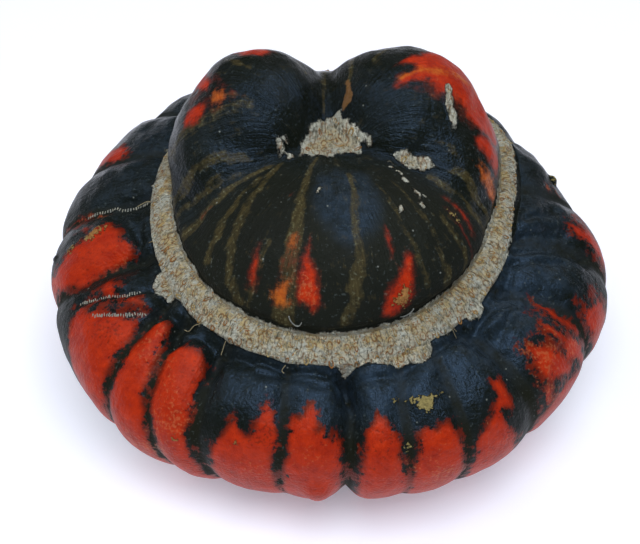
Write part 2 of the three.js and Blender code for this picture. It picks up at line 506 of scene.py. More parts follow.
STRIPES = tuple(Streak(Zone.CAP, *line) for line in (
    (2.2, 0.70, ((-95, 0.0), (-98, 0.3), (-101, 0.6))),
    (2.5, 0.80, ((-83, 0.0), (-82, 0.2), (-80, 0.45))),
    (2.0, 0.70, ((-77, 0.05), (-73, 0.4))),
    (2.5, 0.85, ((-66, 0.05), (-68, 0.3), (-70, 0.55))),
    (3.4, 0.80, ((-33, 0.05), (-40, 0.15), (-47, 0.3), (-55, 0.45), (-68, 0.62))),
    (2.3, 0.75, ((-50, 0.1), (-55, 0.25), (-62, 0.45))),
    (4.0, 0.87, ((-15, 0.05), (-15, 0.2), (-17, 0.4), (-20, 0.55), (-27, 0.7), (-35, 0.85))),
    (2.0, 0.60, ((-29, 0.05), (-28, 0.3))),
    (3.2, 0.80, ((6, 0.05), (12, 0.25), (13, 0.4), (18, 0.55), (24, 0.68))),
    (1.6, 0.40, ((24, 0.55), (30, 0.7))),
    (1.7, 0.55, ((35, 0.1), (36, 0.35), (40, 0.55))),
    (1.7, 0.60, ((43, 0.05), (47, 0.3), (52, 0.5))),
    (1.9, 0.70, ((52, 0.05), (55, 0.25))),
    (1.9, 0.70, ((70, 0.05), (72, 0.35))),
    (1.9, 0.80, ((76, 0.05), (78, 0.3))),
    (1.6, 0.60, ((83, 0.3), (86, 0.4))),
    (1.8, 0.60, ((-106, 0.45), (-104, 0.6))),
    (1.6, 0.50, ((-95, 0.3), (-97, 0.55))),
    (2.1, 0.60, ((148, 0.05), (150, 0.35), (146, 0.6))),
    (2.1, 0.70, ((164, 0.05), (166, 0.4), (160, 0.65))),
    (2.1, 0.70, ((-178, 0.05), (-176, 0.4), (-172, 0.7))),
    (2.1, 0.60, ((-160, 0.05), (-162, 0.35), (-158, 0.6))),
    (1.9, 0.60, ((-126, 0.05), (-128, 0.3), (-124, 0.55))),
))
RED_FLANK = (
    ((-121, 0.60), (-119, 0.70), (-117, 0.79), (-113, 0.815), (-111.5, 0.78), (-112.5, 0.70), (-115, 0.60)),
    ((-98, 0.50), (-96.5, 0.68), (-95, 0.80), (-93.5, 0.80), (-95, 0.68), (-96.5, 0.52)),
    ((-94, 0.70), (-90, 0.77), (-88.5, 0.76), (-92, 0.70)),
    ((-88.5, 0.84), (-84, 0.885), (-80.5, 0.89), (-79, 0.925), (-75, 0.905), (-74.4, 0.83), (-74.6, 0.72),
     (-76.5, 0.66), (-79.5, 0.58), (-83, 0.40), (-87, 0.30), (-87, 0.46), (-85, 0.62), (-86.5, 0.74), (-88, 0.79)),
    ((-71.5, 0.80), (-68, 0.845), (-66, 0.835), (-64.5, 0.80), (-66, 0.77), (-70, 0.77)),
    ((-65, 0.80), (-62, 0.86), (-58.5, 0.885), (-57, 0.87), (-60, 0.835), (-63.5, 0.79)),
    ((-70.5, 0.68), (-64.5, 0.765), (-60, 0.80), (-57, 0.835), (-54.6, 0.845), (-53.6, 0.76), (-52.6, 0.62),
     (-51.4, 0.50), (-50.8, 0.30), (-50.6, 0.12), (-57, 0.12), (-59, 0.34), (-63.5, 0.46), (-67.5, 0.57)),
    ((-53.0, 0.885), (-50, 0.905), (-47.6, 0.90), (-45.8, 0.85), (-44.4, 0.80), (-43.4, 0.75), (-42.6, 0.70),
     (-41.0, 0.63), (-39.3, 0.52), (-37.2, 0.35), (-35.8, 0.12), (-49.4, 0.12), (-50.2, 0.46), (-51.2, 0.60),
     (-52.2, 0.76)),
    ((-43.8, 0.85), (-41, 0.885), (-36.5, 0.905), (-33.4, 0.885), (-32.2, 0.82), (-31.2, 0.72), (-30.2, 0.60),
     (-28.6, 0.46), (-27, 0.35), (-25.8, 0.12), (-34.2, 0.12), (-36.2, 0.35), (-37.8, 0.50), (-39.6, 0.60),
     (-41.6, 0.72), (-43.2, 0.80)),
    ((-24.6, 0.12), (-26.2, 0.46), (-25.2, 0.60), (-23, 0.645), (-21.2, 0.735), (-19.6, 0.68), (-17.6, 0.645),
     (-16.8, 0.74), (-15.2, 0.812), (-13.4, 0.785), (-11.8, 0.74), (-10.9, 0.70), (-11, 0.62), (-11.6, 0.55),
     (-11.2, 0.46), (-10.2, 0.40), (-10, 0.12)),
    ((-11.5, 0.12), (-11, 0.40), (-10.1, 0.48), (-9.6, 0.60), (-9.8, 0.70), (-9, 0.765), (-7, 0.75), (-5.5, 0.80),
     (-3.2, 0.812),
     (-2, 0.77), (-2.2, 0.71), (-0.8, 0.72), (0, 0.68), (1.2, 0.705), (3, 0.66), (3.4, 0.58), (3.2, 0.45),
     (2.6, 0.12)),
    ((5.4, 0.12), (5.4, 0.45), (6.3, 0.60), (7.6, 0.71), (9, 0.735), (11, 0.77), (13.2, 0.745), (15, 0.715),
     (15.8, 0.66), (15.6, 0.58), (16.6, 0.52), (17.2, 0.44), (17.4, 0.12)),
    ((16.4, 0.12), (16.6, 0.46), (17.4, 0.53), (18, 0.57), (18.2, 0.64), (19.6, 0.69), (22, 0.695), (23.2, 0.68),
     (25.6, 0.71),
     (27.8, 0.66), (28.6, 0.58), (28.6, 0.48), (28.8, 0.12)),
    ((29.3, 0.12), (29.6, 0.45), (30.5, 0.58), (32.2, 0.605), (34, 0.63), (36, 0.665), (38, 0.70), (38, 0.735),
     (39.2, 0.765), (41.4, 0.74), (41.8, 0.70), (42.4, 0.64), (41, 0.62), (39, 0.63), (38.8, 0.58), (41, 0.5),
     (43.5, 0.40), (46, 0.12)),
    ((48.6, 0.12), (48.2, 0.46), (50.5, 0.50), (54, 0.535), (58, 0.535), (62, 0.51), (66, 0.50), (68.4, 0.12)),
    ((50.4, 0.70), (51, 0.775), (52.6, 0.77), (54.6, 0.735), (57, 0.70), (59, 0.63), (60, 0.56), (58.6, 0.535),
     (55, 0.58),
     (52.4, 0.60), (50.6, 0.63)),
    ((49.4, 0.56), (50.2, 0.625), (52.2, 0.60), (52.8, 0.565), (52, 0.48), (49.6, 0.50)),
    ((58, 0.80), (59, 0.82), (60.2, 0.76), (61.4, 0.70), (63, 0.60), (62.4, 0.565), (60.4, 0.60), (59, 0.67),
     (57.6, 0.74)),
    ((62.2, 0.79), (63.2, 0.85), (64.2, 0.845), (65, 0.785), (65.8, 0.70), (67.2, 0.63), (66.6, 0.60), (64.6, 0.62),
     (63.4, 0.69), (62.4, 0.75)),
    ((57.5, 0.60), (58.8, 0.66), (61, 0.68), (63, 0.66), (65, 0.60), (66.4, 0.52), (66, 0.47), (63.5, 0.50),
     (61.5, 0.56), (59.5, 0.58)),
    ((69, 0.70), (70, 0.725), (71.2, 0.71), (70.6, 0.69)),
    ((68.6, 0.60), (69.6, 0.66), (71.5, 0.67), (73.5, 0.645), (75.8, 0.64), (77.4, 0.60), (77.6, 0.52), (80, 0.36),
     (72, 0.30), (69.4, 0.54)),
    ((86.6, 0.66), (87, 0.76), (88.2, 0.812), (90, 0.80), (91, 0.74), (92.2, 0.70), (91.8, 0.63), (90, 0.55),
     (90, 0.40), (87, 0.40)),
    ((85.2, 0.64), (86, 0.76), (86.8, 0.72), (86.4, 0.62)),
    ((92.6, 0.79), (95, 0.74), (97, 0.70), (96, 0.70), (93, 0.75)),
    ((100.4, 0.77), (101, 0.845), (102, 0.83), (102.4, 0.77), (101.6, 0.75)),
    ((104, 0.20), (104, 0.55), (107, 0.72), (110, 0.66), (113, 0.78), (116, 0.60), (117, 0.20)),
    ((123, 0.16), (122.5, 0.50), (125, 0.66), (128, 0.60), (131, 0.74), (134, 0.62), (136, 0.50), (136, 0.16)),
    ((142, 0.14), (141, 0.52), (144, 0.74), (148, 0.68), (152, 0.80), (155, 0.64), (157, 0.46), (156, 0.14)),
    ((163, 0.14), (162.5, 0.48), (166, 0.62), (169, 0.74), (173, 0.66), (177, 0.72), (180, 0.50), (180, 0.14)),
    ((-173, 0.14), (-173, 0.50), (-170, 0.72), (-166, 0.64), (-162, 0.80), (-158, 0.66), (-157, 0.40), (-157, 0.14)),
    ((-151, 0.16), (-151, 0.54), (-147, 0.78), (-143, 0.70), (-139, 0.74), (-136, 0.52), (-136, 0.16)),
    ((-129, 0.18), (-129.5, 0.50), (-126, 0.70), (-123, 0.62), (-120, 0.66), (-117, 0.44), (-117, 0.18)),
    ((-109, 0.18), (-110, 0.44), (-106, 0.60), (-103, 0.52), (-101, 0.40), (-101, 0.18)),
)
SCAB_FLANK = (
    ((104.8, 0.72), (104.8, 0.75), (107, 0.75), (107, 0.72)),
    ((18.8, 0.79), (20, 0.775), (21, 0.745), (22.4, 0.735), (24, 0.755), (24.6, 0.775), (27.6, 0.79), (24, 0.80),
     (21, 0.80)),
    ((15.4, 0.80), (16, 0.812), (17.2, 0.802), (16.6, 0.79)),
    ((-87.8, 0.80), (-86.8, 0.835), (-85.8, 0.83), (-85, 0.80), (-84.8, 0.765), (-86, 0.76), (-86.8, 0.74),
     (-87, 0.78)),
    ((-86.8, 0.70), (-85.8, 0.72), (-84.8, 0.695), (-85.4, 0.67)),
    ((-20.6, 0.60), (-20, 0.612), (-19.5, 0.60), (-20, 0.588)),
    ((16.2, 0.63), (16.8, 0.645), (17.4, 0.63), (16.8, 0.615)),
    ((-33.6, 0.56), (-33, 0.57), (-32.4, 0.555), (-33, 0.54)),
)
CORK_FLANK = (
    ((-67, 1.10), (-64, 0.965), (-61.5, 0.93), (-60, 0.925), (-58.5, 0.945), (-56, 0.97), (-53, 1.10)),
    ((2, 1.06), (4, 0.985), (8, 0.975), (15, 0.955), (21, 0.935), (27, 0.91), (29.5, 0.92), (31, 0.96), (33, 1.06)),
    ((42, 1.10), (45, 0.965), (48, 0.95), (52, 0.965), (57, 1.10)),
    ((-43, 1.10), (-42.6, 0.95), (-42, 1.10)),
    ((-9.6, 1.10), (-9, 0.955), (-8.2, 1.10)),
    ((-116, 1.10), (-115, 0.945), (-113.6, 1.10)),
    ((-100, 1.10), (-98.5, 0.96), (-97, 1.10)),
    ((150, 1.10), (154, 0.95), (158, 1.10)),
    ((-168, 1.10), (-164, 0.95), (-159, 1.10)),
)
RED_CAP = (
    ((-30.6, 0.11), (-32.4, 0.18), (-31, 0.29), (-28.6, 0.25), (-26, 0.17), (-26.6, 0.11)),
    ((-29, 0.52), (-27.6, 0.57), (-26.4, 0.545), (-27, 0.515)),
    ((-68.6, 0.12), (-67.4, 0.21), (-65.2, 0.22), (-66.2, 0.13)),
    ((-12.8, 0.18), (-12.4, 0.25), (-10.8, 0.345), (-8.4, 0.37), (-6.4, 0.29), (-3.8, 0.25), (-2, 0.19), (-2.6, 0.12),
     (-5.4, 0.075), (-9, 0.10), (-12, 0.11)),
    ((23.6, 0.25), (25, 0.33), (28, 0.375), (29.6, 0.34), (28, 0.28), (25.6, 0.245)),
    ((16.4, 0.06), (18.6, 0.13), (21.6, 0.17), (25, 0.205), (29, 0.25), (33, 0.265), (34.6, 0.22), (32.6, 0.16),
     (31, 0.10), (27, 0.05), (21, 0.03)),
    ((54.8, 0.045), (57, 0.14), (60.6, 0.265), (62.4, 0.25), (60.8, 0.15), (58, 0.055)),
    ((61.6, 0.10), (63.2, 0.19), (65.4, 0.29), (67.6, 0.27), (67.8, 0.18), (65.4, 0.11), (63.2, 0.085)),
    ((88, 0.09), (88.6, 0.20), (90.4, 0.29), (94.4, 0.30), (98, 0.24), (101, 0.10), (97, 0.05), (92, 0.05)),
    ((96, 0.12), (96.5, 0.24), (98, 0.33), (102, 0.39), (103, 0.44), (105, 0.51), (109, 0.515), (112, 0.60),
     (112, 0.65), (116, 0.65), (120, 0.62), (122, 0.55), (127, 0.58), (131, 0.60), (133, 0.55), (131, 0.48),
     (134, 0.42), (137, 0.35), (132, 0.24), (124, 0.14), (114, 0.06), (104, 0.06)),
    ((-128, 0.22), (-127, 0.31), (-120, 0.36), (-113, 0.41), (-110, 0.36), (-114, 0.26), (-122, 0.20)),
    ((-109, 0.26), (-108, 0.36), (-103, 0.40), (-97, 0.34), (-98, 0.24), (-104, 0.23)),
    ((-151, 0.38), (-148, 0.49), (-141, 0.54), (-134, 0.53), (-129, 0.46), (-132, 0.38), (-141, 0.35)),
    ((-140, 0.10), (-142, 0.22), (-138, 0.30), (-132, 0.26), (-130, 0.14), (-134, 0.08)),
    ((154, 0.10), (152, 0.24), (156, 0.34), (160, 0.24), (159, 0.12)),
    ((-170, 0.12), (-171, 0.26), (-167, 0.36), (-163, 0.24), (-165, 0.10)),
)
ORANGE_CAP = (
    ((-111, 0.40), (-109, 0.48), (-104, 0.50), (-101, 0.45), (-104, 0.40)),
    ((-18.2, 0.29), (-18, 0.35), (-16.4, 0.37), (-14.4, 0.31), (-15.6, 0.28)),
    ((-20.6, 0.12), (-20, 0.16), (-17.4, 0.20), (-15, 0.19), (-13.6, 0.15), (-13, 0.10), (-15.4, 0.085),
     (-18, 0.095)),
    ((81.6, 0.02), (81, 0.10), (82, 0.19), (84.6, 0.26), (86.8, 0.21), (87.6, 0.12), (87, 0.04), (84.4, 0.01)),
    ((113, 0.20), (112, 0.34), (114, 0.46), (116, 0.56), (117, 0.62), (120, 0.62), (121.5, 0.52), (119.5, 0.42),
     (117.5, 0.32), (117, 0.20)),
)
SCAB_CAP = (
    ((22, 0.085), (24, 0.12), (26.6, 0.145), (29, 0.135), (28, 0.10), (25.6, 0.08)),
    ((59, 0.19), (60.2, 0.245), (61.6, 0.235), (60.4, 0.18)),
)
CORK_CAP = (
    ((73, 0.39), (74, 0.50), (77.6, 0.555), (81.6, 0.52), (81, 0.42), (77, 0.365)),
    ((94, 0.375), (94, 0.41), (102, 0.445), (110, 0.45), (110, 0.425), (103, 0.41), (98, 0.385)),
    ((50, 0.33), (50.8, 0.36), (52.6, 0.35), (51.4, 0.315)),
    ((53, 0.355), (54.6, 0.40), (57, 0.405), (56, 0.365)),
    ((56.8, 0.33), (57.5, 0.355), (58.6, 0.335)),
    ((59, 0.44), (60, 0.48), (62, 0.465), (60.8, 0.43)),
    ((62, 0.475), (63, 0.515), (65, 0.505), (63.8, 0.465)),
    ((65, 0.52), (65.8, 0.555), (67.6, 0.54), (66.4, 0.51)),
    ((70, 0.545), (71, 0.57), (72.6, 0.555), (71.4, 0.535)),
    ((37.4, 0.385), (39, 0.41), (41.4, 0.405), (40, 0.38)),
    ((-9.6, 0.575), (-8.6, 0.607), (-6.6, 0.60), (-7, 0.57)),
    ((-80.4, 0.67), (-79, 0.70), (-76.6, 0.70), (-77.4, 0.665)),
)
PATCHES = tuple(
    Patch(mark, zone, outline)
    for mark, zone, outlines in (
        (Mark.RED, Zone.FLANK, RED_FLANK),
        (Mark.SCAB, Zone.FLANK, SCAB_FLANK),
        (Mark.CORK, Zone.FLANK, CORK_FLANK),
        (Mark.RED, Zone.CAP, RED_CAP),
        (Mark.ORANGE, Zone.CAP, ORANGE_CAP),
        (Mark.SCAB, Zone.CAP, SCAB_CAP),
        (Mark.CORK, Zone.CAP, CORK_CAP),
    )
    for outline in outlines
)
# Areas that are red in specks only.
SPECKLED = (
    (Zone.FLANK, ((48.5, 0.50), (49, 0.70), (50, 0.80), (54, 0.76), (58, 0.80), (62, 0.84), (64, 0.80), (66, 0.70),
                  (67, 0.55), (67, 0.42), (58, 0.42), (52, 0.44))),
    (Zone.FLANK, ((69, 0.45), (69, 0.66), (72, 0.69), (78, 0.66), (79, 0.52), (78, 0.42))),
    (Zone.FLANK, ((85.5, 0.50), (86, 0.78), (91, 0.80), (94, 0.74), (97, 0.68), (97, 0.56))),
    (Zone.FLANK, ((-71, 0.66), (-66, 0.74), (-60, 0.79), (-55, 0.84), (-57, 0.88), (-64, 0.84), (-71, 0.78))),
    (Zone.CAP, ((-122, 0.25), (-122, 0.36), (-112, 0.46), (-105, 0.58), (-100, 0.50), (-98, 0.36), (-100, 0.27),
                (-110, 0.24))),
    (Zone.CAP, ((94, 0.14), (95, 0.30), (101, 0.45), (106, 0.56), (114, 0.66), (124, 0.62), (120, 0.46),
                (112, 0.30), (102, 0.16))),
    (Zone.CAP, ((-20, 0.08), (-19, 0.34), (-15, 0.38), (-12, 0.28), (-12, 0.10))),
)
# Knobs on the ring: bearing, share, radius and height in mm.
KNOBS = ((-2.4, 0.40, 6.0, 2.2), (106.0, 0.735, 1.8, 1.6), (-88.5, 0.60, 1.6, 1.0))
# Outline on the cap of the blue-grey bloom whose colour also paints the highlight on the front lobe's top.
BLOOM_SHEEN_CAP = ((-20, 0.72), (-12, 0.47), (-2, 0.37), (7, 0.30), (18, 0.31), (29, 0.37), (38, 0.48), (44, 0.62),
             (38, 0.70),
             (10, 0.78))
# Blossom scar on top of the cap, in mm from the axis.
SCAR_OUTLINE = ((-12, -6), (-10.5, 1), (-8, 6), (-4.5, 11), (1.5, 13.5), (5, 12), (8, 7.5), (12, 2), (14, -1),
                (12, -6),
                (0, -7))
SCAR_TONGUE = ((5.6, 12), (6.4, 19), (7.6, 24), (8.6, 19), (9.0, 12))
SCAR_FLECKS = ((-19.5, -3.5, 1.8), (-15.5, -5.5, 1.5), (-17.0, -1.5, 0.9), (16.5, -2.0, 1.0))
SCAR_PIT = (0.5, 8.0)
# Middle of the fuller bridge between the rear lobes, in mm from the axis.
SADDLE = (2.0, 38.0)
# Loose fibres and curls of torn skin: zone, bearing, share and height over the skin in mm, step by step.
FIBRES = (
    ((Zone.BAND, 36.0, 0.9, 0.6), (Zone.BAND, 37.0, 0.5, 1.6), (Zone.BAND, 38.2, 0.1, 2.0),
     (Zone.FLANK, 39.6, 0.955, 2.6)),
    ((Zone.BAND, 37.2, 0.75, 0.8), (Zone.BAND, 38.6, 0.3, 1.4), (Zone.FLANK, 40.2, 0.975, 1.8)),
    ((Zone.BAND, -40.4, 0.2, 0.3), (Zone.FLANK, -42.0, 0.985, 1.0), (Zone.FLANK, -43.2, 0.965, 1.3),
     (Zone.FLANK, -44.6, 0.945, 0.8), (Zone.FLANK, -46.4, 0.94, 0.5)),
    ((Zone.FLANK, -12.6, 0.985, 0.8), (Zone.FLANK, -13.4, 0.96, 1.2), (Zone.FLANK, -13.0, 0.94, 1.6)),
    ((Zone.BAND, -10.0, 0.95, 0.8), (Zone.BAND, -9.6, 0.7, 2.2), (Zone.BAND, -9.4, 0.5, 2.6)),
    ((Zone.BAND, -31.2, 0.25, 0.3), (Zone.FLANK, -32.0, 0.985, 0.9), (Zone.FLANK, -32.4, 0.96, 1.0),
     (Zone.FLANK, -32.2, 0.945, 0.5)),
    ((Zone.FLANK, -94.0, 1.0, 0.5), (Zone.FLANK, -94.4, 0.96, 0.9), (Zone.FLANK, -94.6, 0.92, 0.6)),
)
CURLS = (
    ((Zone.CAP, -13.2, 0.066, 0.3), (Zone.CAP, -12.4, 0.053, 0.8), (Zone.CAP, -11.2, 0.0395, 1.0),
     (Zone.CAP, -9.8, 0.0395, 1.0), (Zone.CAP, -8.8, 0.053, 0.6)),
    ((Zone.CAP, 25.0, 0.013, 0.3), (Zone.CAP, 26.5, 0.013, 0.8), (Zone.CAP, 28.0, 0.0263, 0.9),
     (Zone.CAP, 29.5, 0.0395, 0.4)),
)
CRACKS = (
    ((-62, 0.88), (-66, 0.80), (-71.5, 0.68)),
    ((-56, 0.86), (-60, 0.79), (-65, 0.72)),
    ((-94.2, 0.985), (-94.8, 0.86), (-95.6, 0.73)),
)


@dataclass(frozen=True)
class FruitShape:
    """The fruit's smooth form in mm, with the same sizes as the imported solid."""

    width: float = 238.0
    depth: float = 218.0
    girth_height: float = 55.0
    girth_tilt: float = math.tan(math.radians(5.0))
    foot_outer: float = 58.0
    foot_inner: float = 50.0
    basin_depth: float = 16.0
    stem_seat: float = 15.0
    lower_power: float = 1.22
    upper_power: float = 1.25
    band_radius: float = 76.0
    band_height: float = 92.0
    band_tilt: float = math.tan(math.radians(12.0))
    band_rear_drop: float = 3.5
    band_inward: float = 8.5
    band_rise: float = 8.0
    cap_centre_height: float = 90.0
    cap_blend: float = 5.0
    cap_root: float = 0.12
    search_start: float = 120.0
    search_steps: int = 26
    search_pace: float = 0.9
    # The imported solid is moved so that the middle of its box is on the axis.
    shift: tuple[float, float, float] = (-0.02, -0.82, 0.0)

    def girth(self, bearing: Array) -> tuple[Array, Array]:
        """Radius and height of the widest line.

        Args:
            bearing: Degrees.

        Returns:
            Radius and height in mm.
        """
        angle = np.radians(bearing)
        radius = 1.0 / np.hypot(2 * np.sin(angle) / self.width, 2 * np.cos(angle) / self.depth)
        radius = radius + sum(swelling.at(bearing) for swelling in GIRTH_SWELLINGS)
        return radius, self.girth_height - self.girth_tilt * radius * np.cos(angle)

    def band_edge(self, bearing: Array) -> tuple[Array, Array]:
        """Radius and height of the cork band's outer edge.

        Args:
            bearing: Degrees.

        Returns:
            Radius and height in mm.
        """
        rear = -np.cos(np.radians(bearing))
        radius = self.band_radius + sum(swelling.at(bearing) for swelling in BAND_SWELLINGS)
        height = self.band_height + self.band_tilt * radius * rear
        return radius, height - self.band_rear_drop * smoothstep(0.3, 1.0, rear)

    def basin(self, bearing: Array, share: Array) -> Array:
        """Points of the hollow round the stem, from its middle to the foot."""
        out = np.clip((self.foot_inner * share - self.stem_seat) / (self.foot_inner - self.stem_seat), 0.0, 1.0)
        return around(bearing, self.foot_inner * share, self.basin_depth * np.cos(np.pi / 2 * out) ** 2)

    def flank(self, bearing: Array, share: Array) -> Array:
        """Points of the ribbed ring, from the foot to the cork band.

        Args:
            bearing: Degrees.
            share: 0 at the lower edge, 1 at the upper edge.

        Returns:
            Points in mm.
        """
        radius, height = self.girth(bearing)
        rim, rim_height = self.band_edge(bearing)
        angle = np.radians(180.0 * share - 90.0)
        bow = np.maximum(np.cos(angle), 0.0)
        low = share < 0.5
        out = np.where(low, self.foot_outer + (radius - self.foot_outer) * bow ** self.lower_power,
                       rim + (radius - rim) * bow ** self.upper_power)
        up = np.where(low, height * (1 + np.sin(angle)), height + (rim_height - height) * np.sin(angle))
        return around(bearing, out, up)

    def band(self, bearing: Array, share: Array) -> Array:
        """Points of the cork band, from its outer to its inner edge."""
        rim, rim_height = self.band_edge(bearing)
        return around(bearing, rim - self.band_inward * share, rim_height + self.band_rise * share)

    def cap_distance(self, points: Array) -> Array:
        """Distance to the lobes of the cap, melted into each other.

        Args:
            points: Points in mm.

        Returns:
            Distances in mm, negative inside.
        """
        apart = np.stack([lobe.distance(points) for lobe in LOBES])
        nearest = apart.min(0)
        half = self.cap_blend / 2
        return nearest - half * np.log(np.exp((nearest - apart) / half).sum(0))

    def cap(self, bearing: Array, share: Array) -> Array:
        """Points of the cap, from the band's inner edge to straight above the middle.

        Args:
            bearing: Degrees.
            share: 0 at the band, 1 on the axis.

        Returns:
            Points in mm.
        """
        centre = np.array([0.0, 0.0, self.cap_centre_height])
        root = self.band(bearing, np.ones_like(share)) - centre
        reach = np.linalg.norm(root, axis=-1)
        rise = np.arcsin(root[..., 2] / reach)
        rise = rise + (np.pi / 2 - rise) * share
        ray = around(bearing, np.cos(rise), np.sin(rise))
        length = np.full(share.shape, self.search_start)
        for _ in range(self.search_steps):
            apart = self.cap_distance(centre + ray * length[..., None])
            length = np.maximum(length - self.search_pace * apart, 0.0)
        grown_in = smoothstep(0.0, self.cap_root, share)
        return centre + ray * (reach + (length - reach) * grown_in)[..., None]

    def points(self, zone: Zone, bearing: Array, share: Array) -> Array:
        """Points of one zone in the frame.

        Args:
            zone: Part of the skin.
            bearing: Degrees.
            share: 0 at the zone's lower edge, 1 at its upper edge.

        Returns:
            Points in mm.
        """
        make = {Zone.BASIN: self.basin, Zone.FLANK: self.flank, Zone.BAND: self.band, Zone.CAP: self.cap}
        return make[zone](bearing, share) + np.array(self.shift)


@dataclass(frozen=True)
class WaxyRind:
    """Ripe winter-squash rind: blue-black wax over green, vermilion where it is ripe, tan where it has healed.

    The wax gives soft, slightly blue highlights with a broken edge, and its blue-grey bloom colour also paints sheen on
    the shoulders and on the top of the front lobe; the cork scars in it are matt and rough.
    """

    name: str = "waxy squash rind with cork scars"
    night: str = "#0c0e08"
    slate: str = "#171a0f"
    # Blue-grey wax bloom; also the colour of painted sheen on the shoulders and the front lobe's top.
    bloom_and_sheen: str = "#26333f"
    olive_deep: str = "#332b14"
    olive: str = "#4a4226"
    olive_pale: str = "#6f6b48"
    red_deep: str = "#8c1a08"
    red_bright: str = "#bc320c"
    red_edge: str = "#5a180b"
    scuff: str = "#c07a4c"
    orange_deep: str = "#a83a10"
    orange: str = "#b9681e"
    scab: str = "#a3955e"
    scab_warm: str = "#b5814a"
    speck: str = "#8f958e"
    dust: str = "#5c6766"
    rust: str = "#6b4d2b"
    ring: str = "#85592b"
    cork_dark: str = "#6e6c5a"
    cork: str = "#c8cabc"
    cork_warm: str = "#c6af78"
    under: str = "#a85a26"
    sheen: str = "#a6ceff"
    plain_sheen: str = "#d8d4c2"

    def patterns(self, tree: bpy.types.NodeTree) -> dict[str, Any]:
        """Adds the patterns that the colours share, and the attributes of the skin.

        Args:
            tree: The material's tree.

        Returns:
            Nodes and sockets by name.
        """
        place = add_node(tree, "ShaderNodeTexCoord").outputs["Object"]
        uv = add_node(tree, "ShaderNodeUVMap", uv_map=BAKE_UV)
        cork = add_node(tree, "ShaderNodeAttribute", attribute_name="cork_place").outputs["Vector"]
        names = [mark.value for mark in Mark] + ["stripe", "bloom_and_sheen", "under", "bleed", "matt"]
        found = {name: add_node(tree, "ShaderNodeAttribute", attribute_name=name).outputs["Fac"] for name in names}
        # Even patterns: size in mm, detail and roughness.
        for name, size, detail, rough in (
            ("clouds", 26.0, 3.0, 0.5),
            ("mottle", 5.0, 6.0, 0.72),
            ("grain", 1.3, 3.0, 0.5),
        ):
            found[name] = add_node(tree, "ShaderNodeTexNoise", {
                "Vector": place, "Scale": per_mm(size), "Detail": detail, "Roughness": rough})
        # Drawn patterns: streaks about 3 mm wide and 25 mm long follow the ribs, and cork fibres run outwards.
        for name, source, stretch, detail, rough, bend in (
            ("streak", uv, (230.0, 16.0, 1.0), 4.0, 0.62, 0.0),
            ("fine", uv, (520.0, 40.0, 1.0), 3.0, 0.5, 0.0),
            ("fibre", cork, (1 / 1.1, 1 / 2.6, 0.0), 5.0, 0.7, 0.8),
        ):
            spread = add_node(tree, "ShaderNodeVectorMath", {0: source, 1: stretch}, operation="MULTIPLY")
            found[name] = add_node(tree, "ShaderNodeTexNoise", {
                "Vector": spread, "Scale": 1.0, "Detail": detail, "Roughness": rough, "Distortion": bend})
        # Rings of old cells, about 3.4 mm wide and 5 mm long, stand end-on in the cork.
        spread = add_node(tree, "ShaderNodeVectorMath", {0: cork, 1: (1 / 3.4, 1 / 5.0, 0.0)}, operation="MULTIPLY")
        cells = add_node(tree, "ShaderNodeTexVoronoi", {"Vector": spread, "Scale": 1.0, "Randomness": 0.9},
                         voronoi_dimensions="2D")
        rim = add_node(tree, "ShaderNodeMath", {0: cells, 1: -0.33}, operation="ADD")
        found["rim"] = add_node(tree, "ShaderNodeMath", {0: rim}, operation="ABSOLUTE")
        # Healed pinpricks are about 0.5 mm wide and 5 mm apart; scuffs of about a millimetre stand in clusters.
        prick = add_node(tree, "ShaderNodeTexVoronoi", {"Vector": place, "Scale": per_mm(5.0)})
        found["prick"], found["pick"] = prick.outputs["Distance"], prick.outputs["Color"]
        found["scuff"] = add_node(tree, "ShaderNodeMath", {0: found["clouds"], 1: found["grain"]}, operation="ADD")
        return found

    def edges(self, tree: bpy.types.NodeTree, found: dict[str, Any]) -> dict[str, Any]:
        """Breaks the edge of each marking with noise: by some mm on the ring, and less on the cap.

        Args:
            tree: The material's tree.
            found: Patterns and attributes.

        Returns:
            How much of each marking shows, by the name of its attribute.
        """
        mottle, bleed = found["mottle"], found["bleed"]
        scaled = {}
        for name, source, gain, start in (
            ("flaked", mottle, 5.0, -2.5),
            ("flecked", found["grain"], 9.0, -4.7),
            ("combed", mottle, 20.0, -14.0),
            ("firm", bleed, -0.55, 1.0),
            ("run", bleed, 3.6, 0.5),
        ):
            scaled[name] = add_node(tree, "ShaderNodeMath", {0: source, 1: gain, 2: start}, operation="MULTIPLY_ADD")
        combed = add_node(tree, "ShaderNodeMath", {0: found["streak"], 1: 8.0, 2: scaled["combed"]},
                          operation="MULTIPLY_ADD")
        combed = add_node(tree, "ShaderNodeMath", {0: combed, 1: scaled["firm"]}, operation="MULTIPLY")
        inside = {}
        for mark, broken, low, high in (
            (Mark.RED, combed, -0.5, scaled["run"]),
            (Mark.ORANGE, combed, -0.5, scaled["run"]),
            (Mark.SCAB, scaled["flecked"], -0.3, 0.4),
            (Mark.CORK, scaled["flaked"], -0.25, 0.3),
            (Mark.RUST, scaled["flaked"], -0.3, 0.3),
        ):
            edge = add_node(tree, "ShaderNodeMath", {0: found[mark.value], 1: broken}, operation="ADD")
            inside[mark] = add_node(tree, "ShaderNodeMapRange", {"Value": edge, "From Min": low, "From Max": high},
                                    interpolation_type="SMOOTHSTEP")
        return inside

    def shares(self, tree: bpy.types.NodeTree, found: dict[str, Any]) -> dict[str, Any]:
        """Turns patterns into the shares that single colours take.

        Args:
            tree: The material's tree.
            found: Patterns and attributes.

        Returns:
            Shares from 0 to 1, by name.
        """
        share = {"inner": add_node(tree, "ShaderNodeMapRange", {
            "Value": found["cork_mm"], "From Min": 1.0, "From Max": 6.0, "To Min": 0.25})}
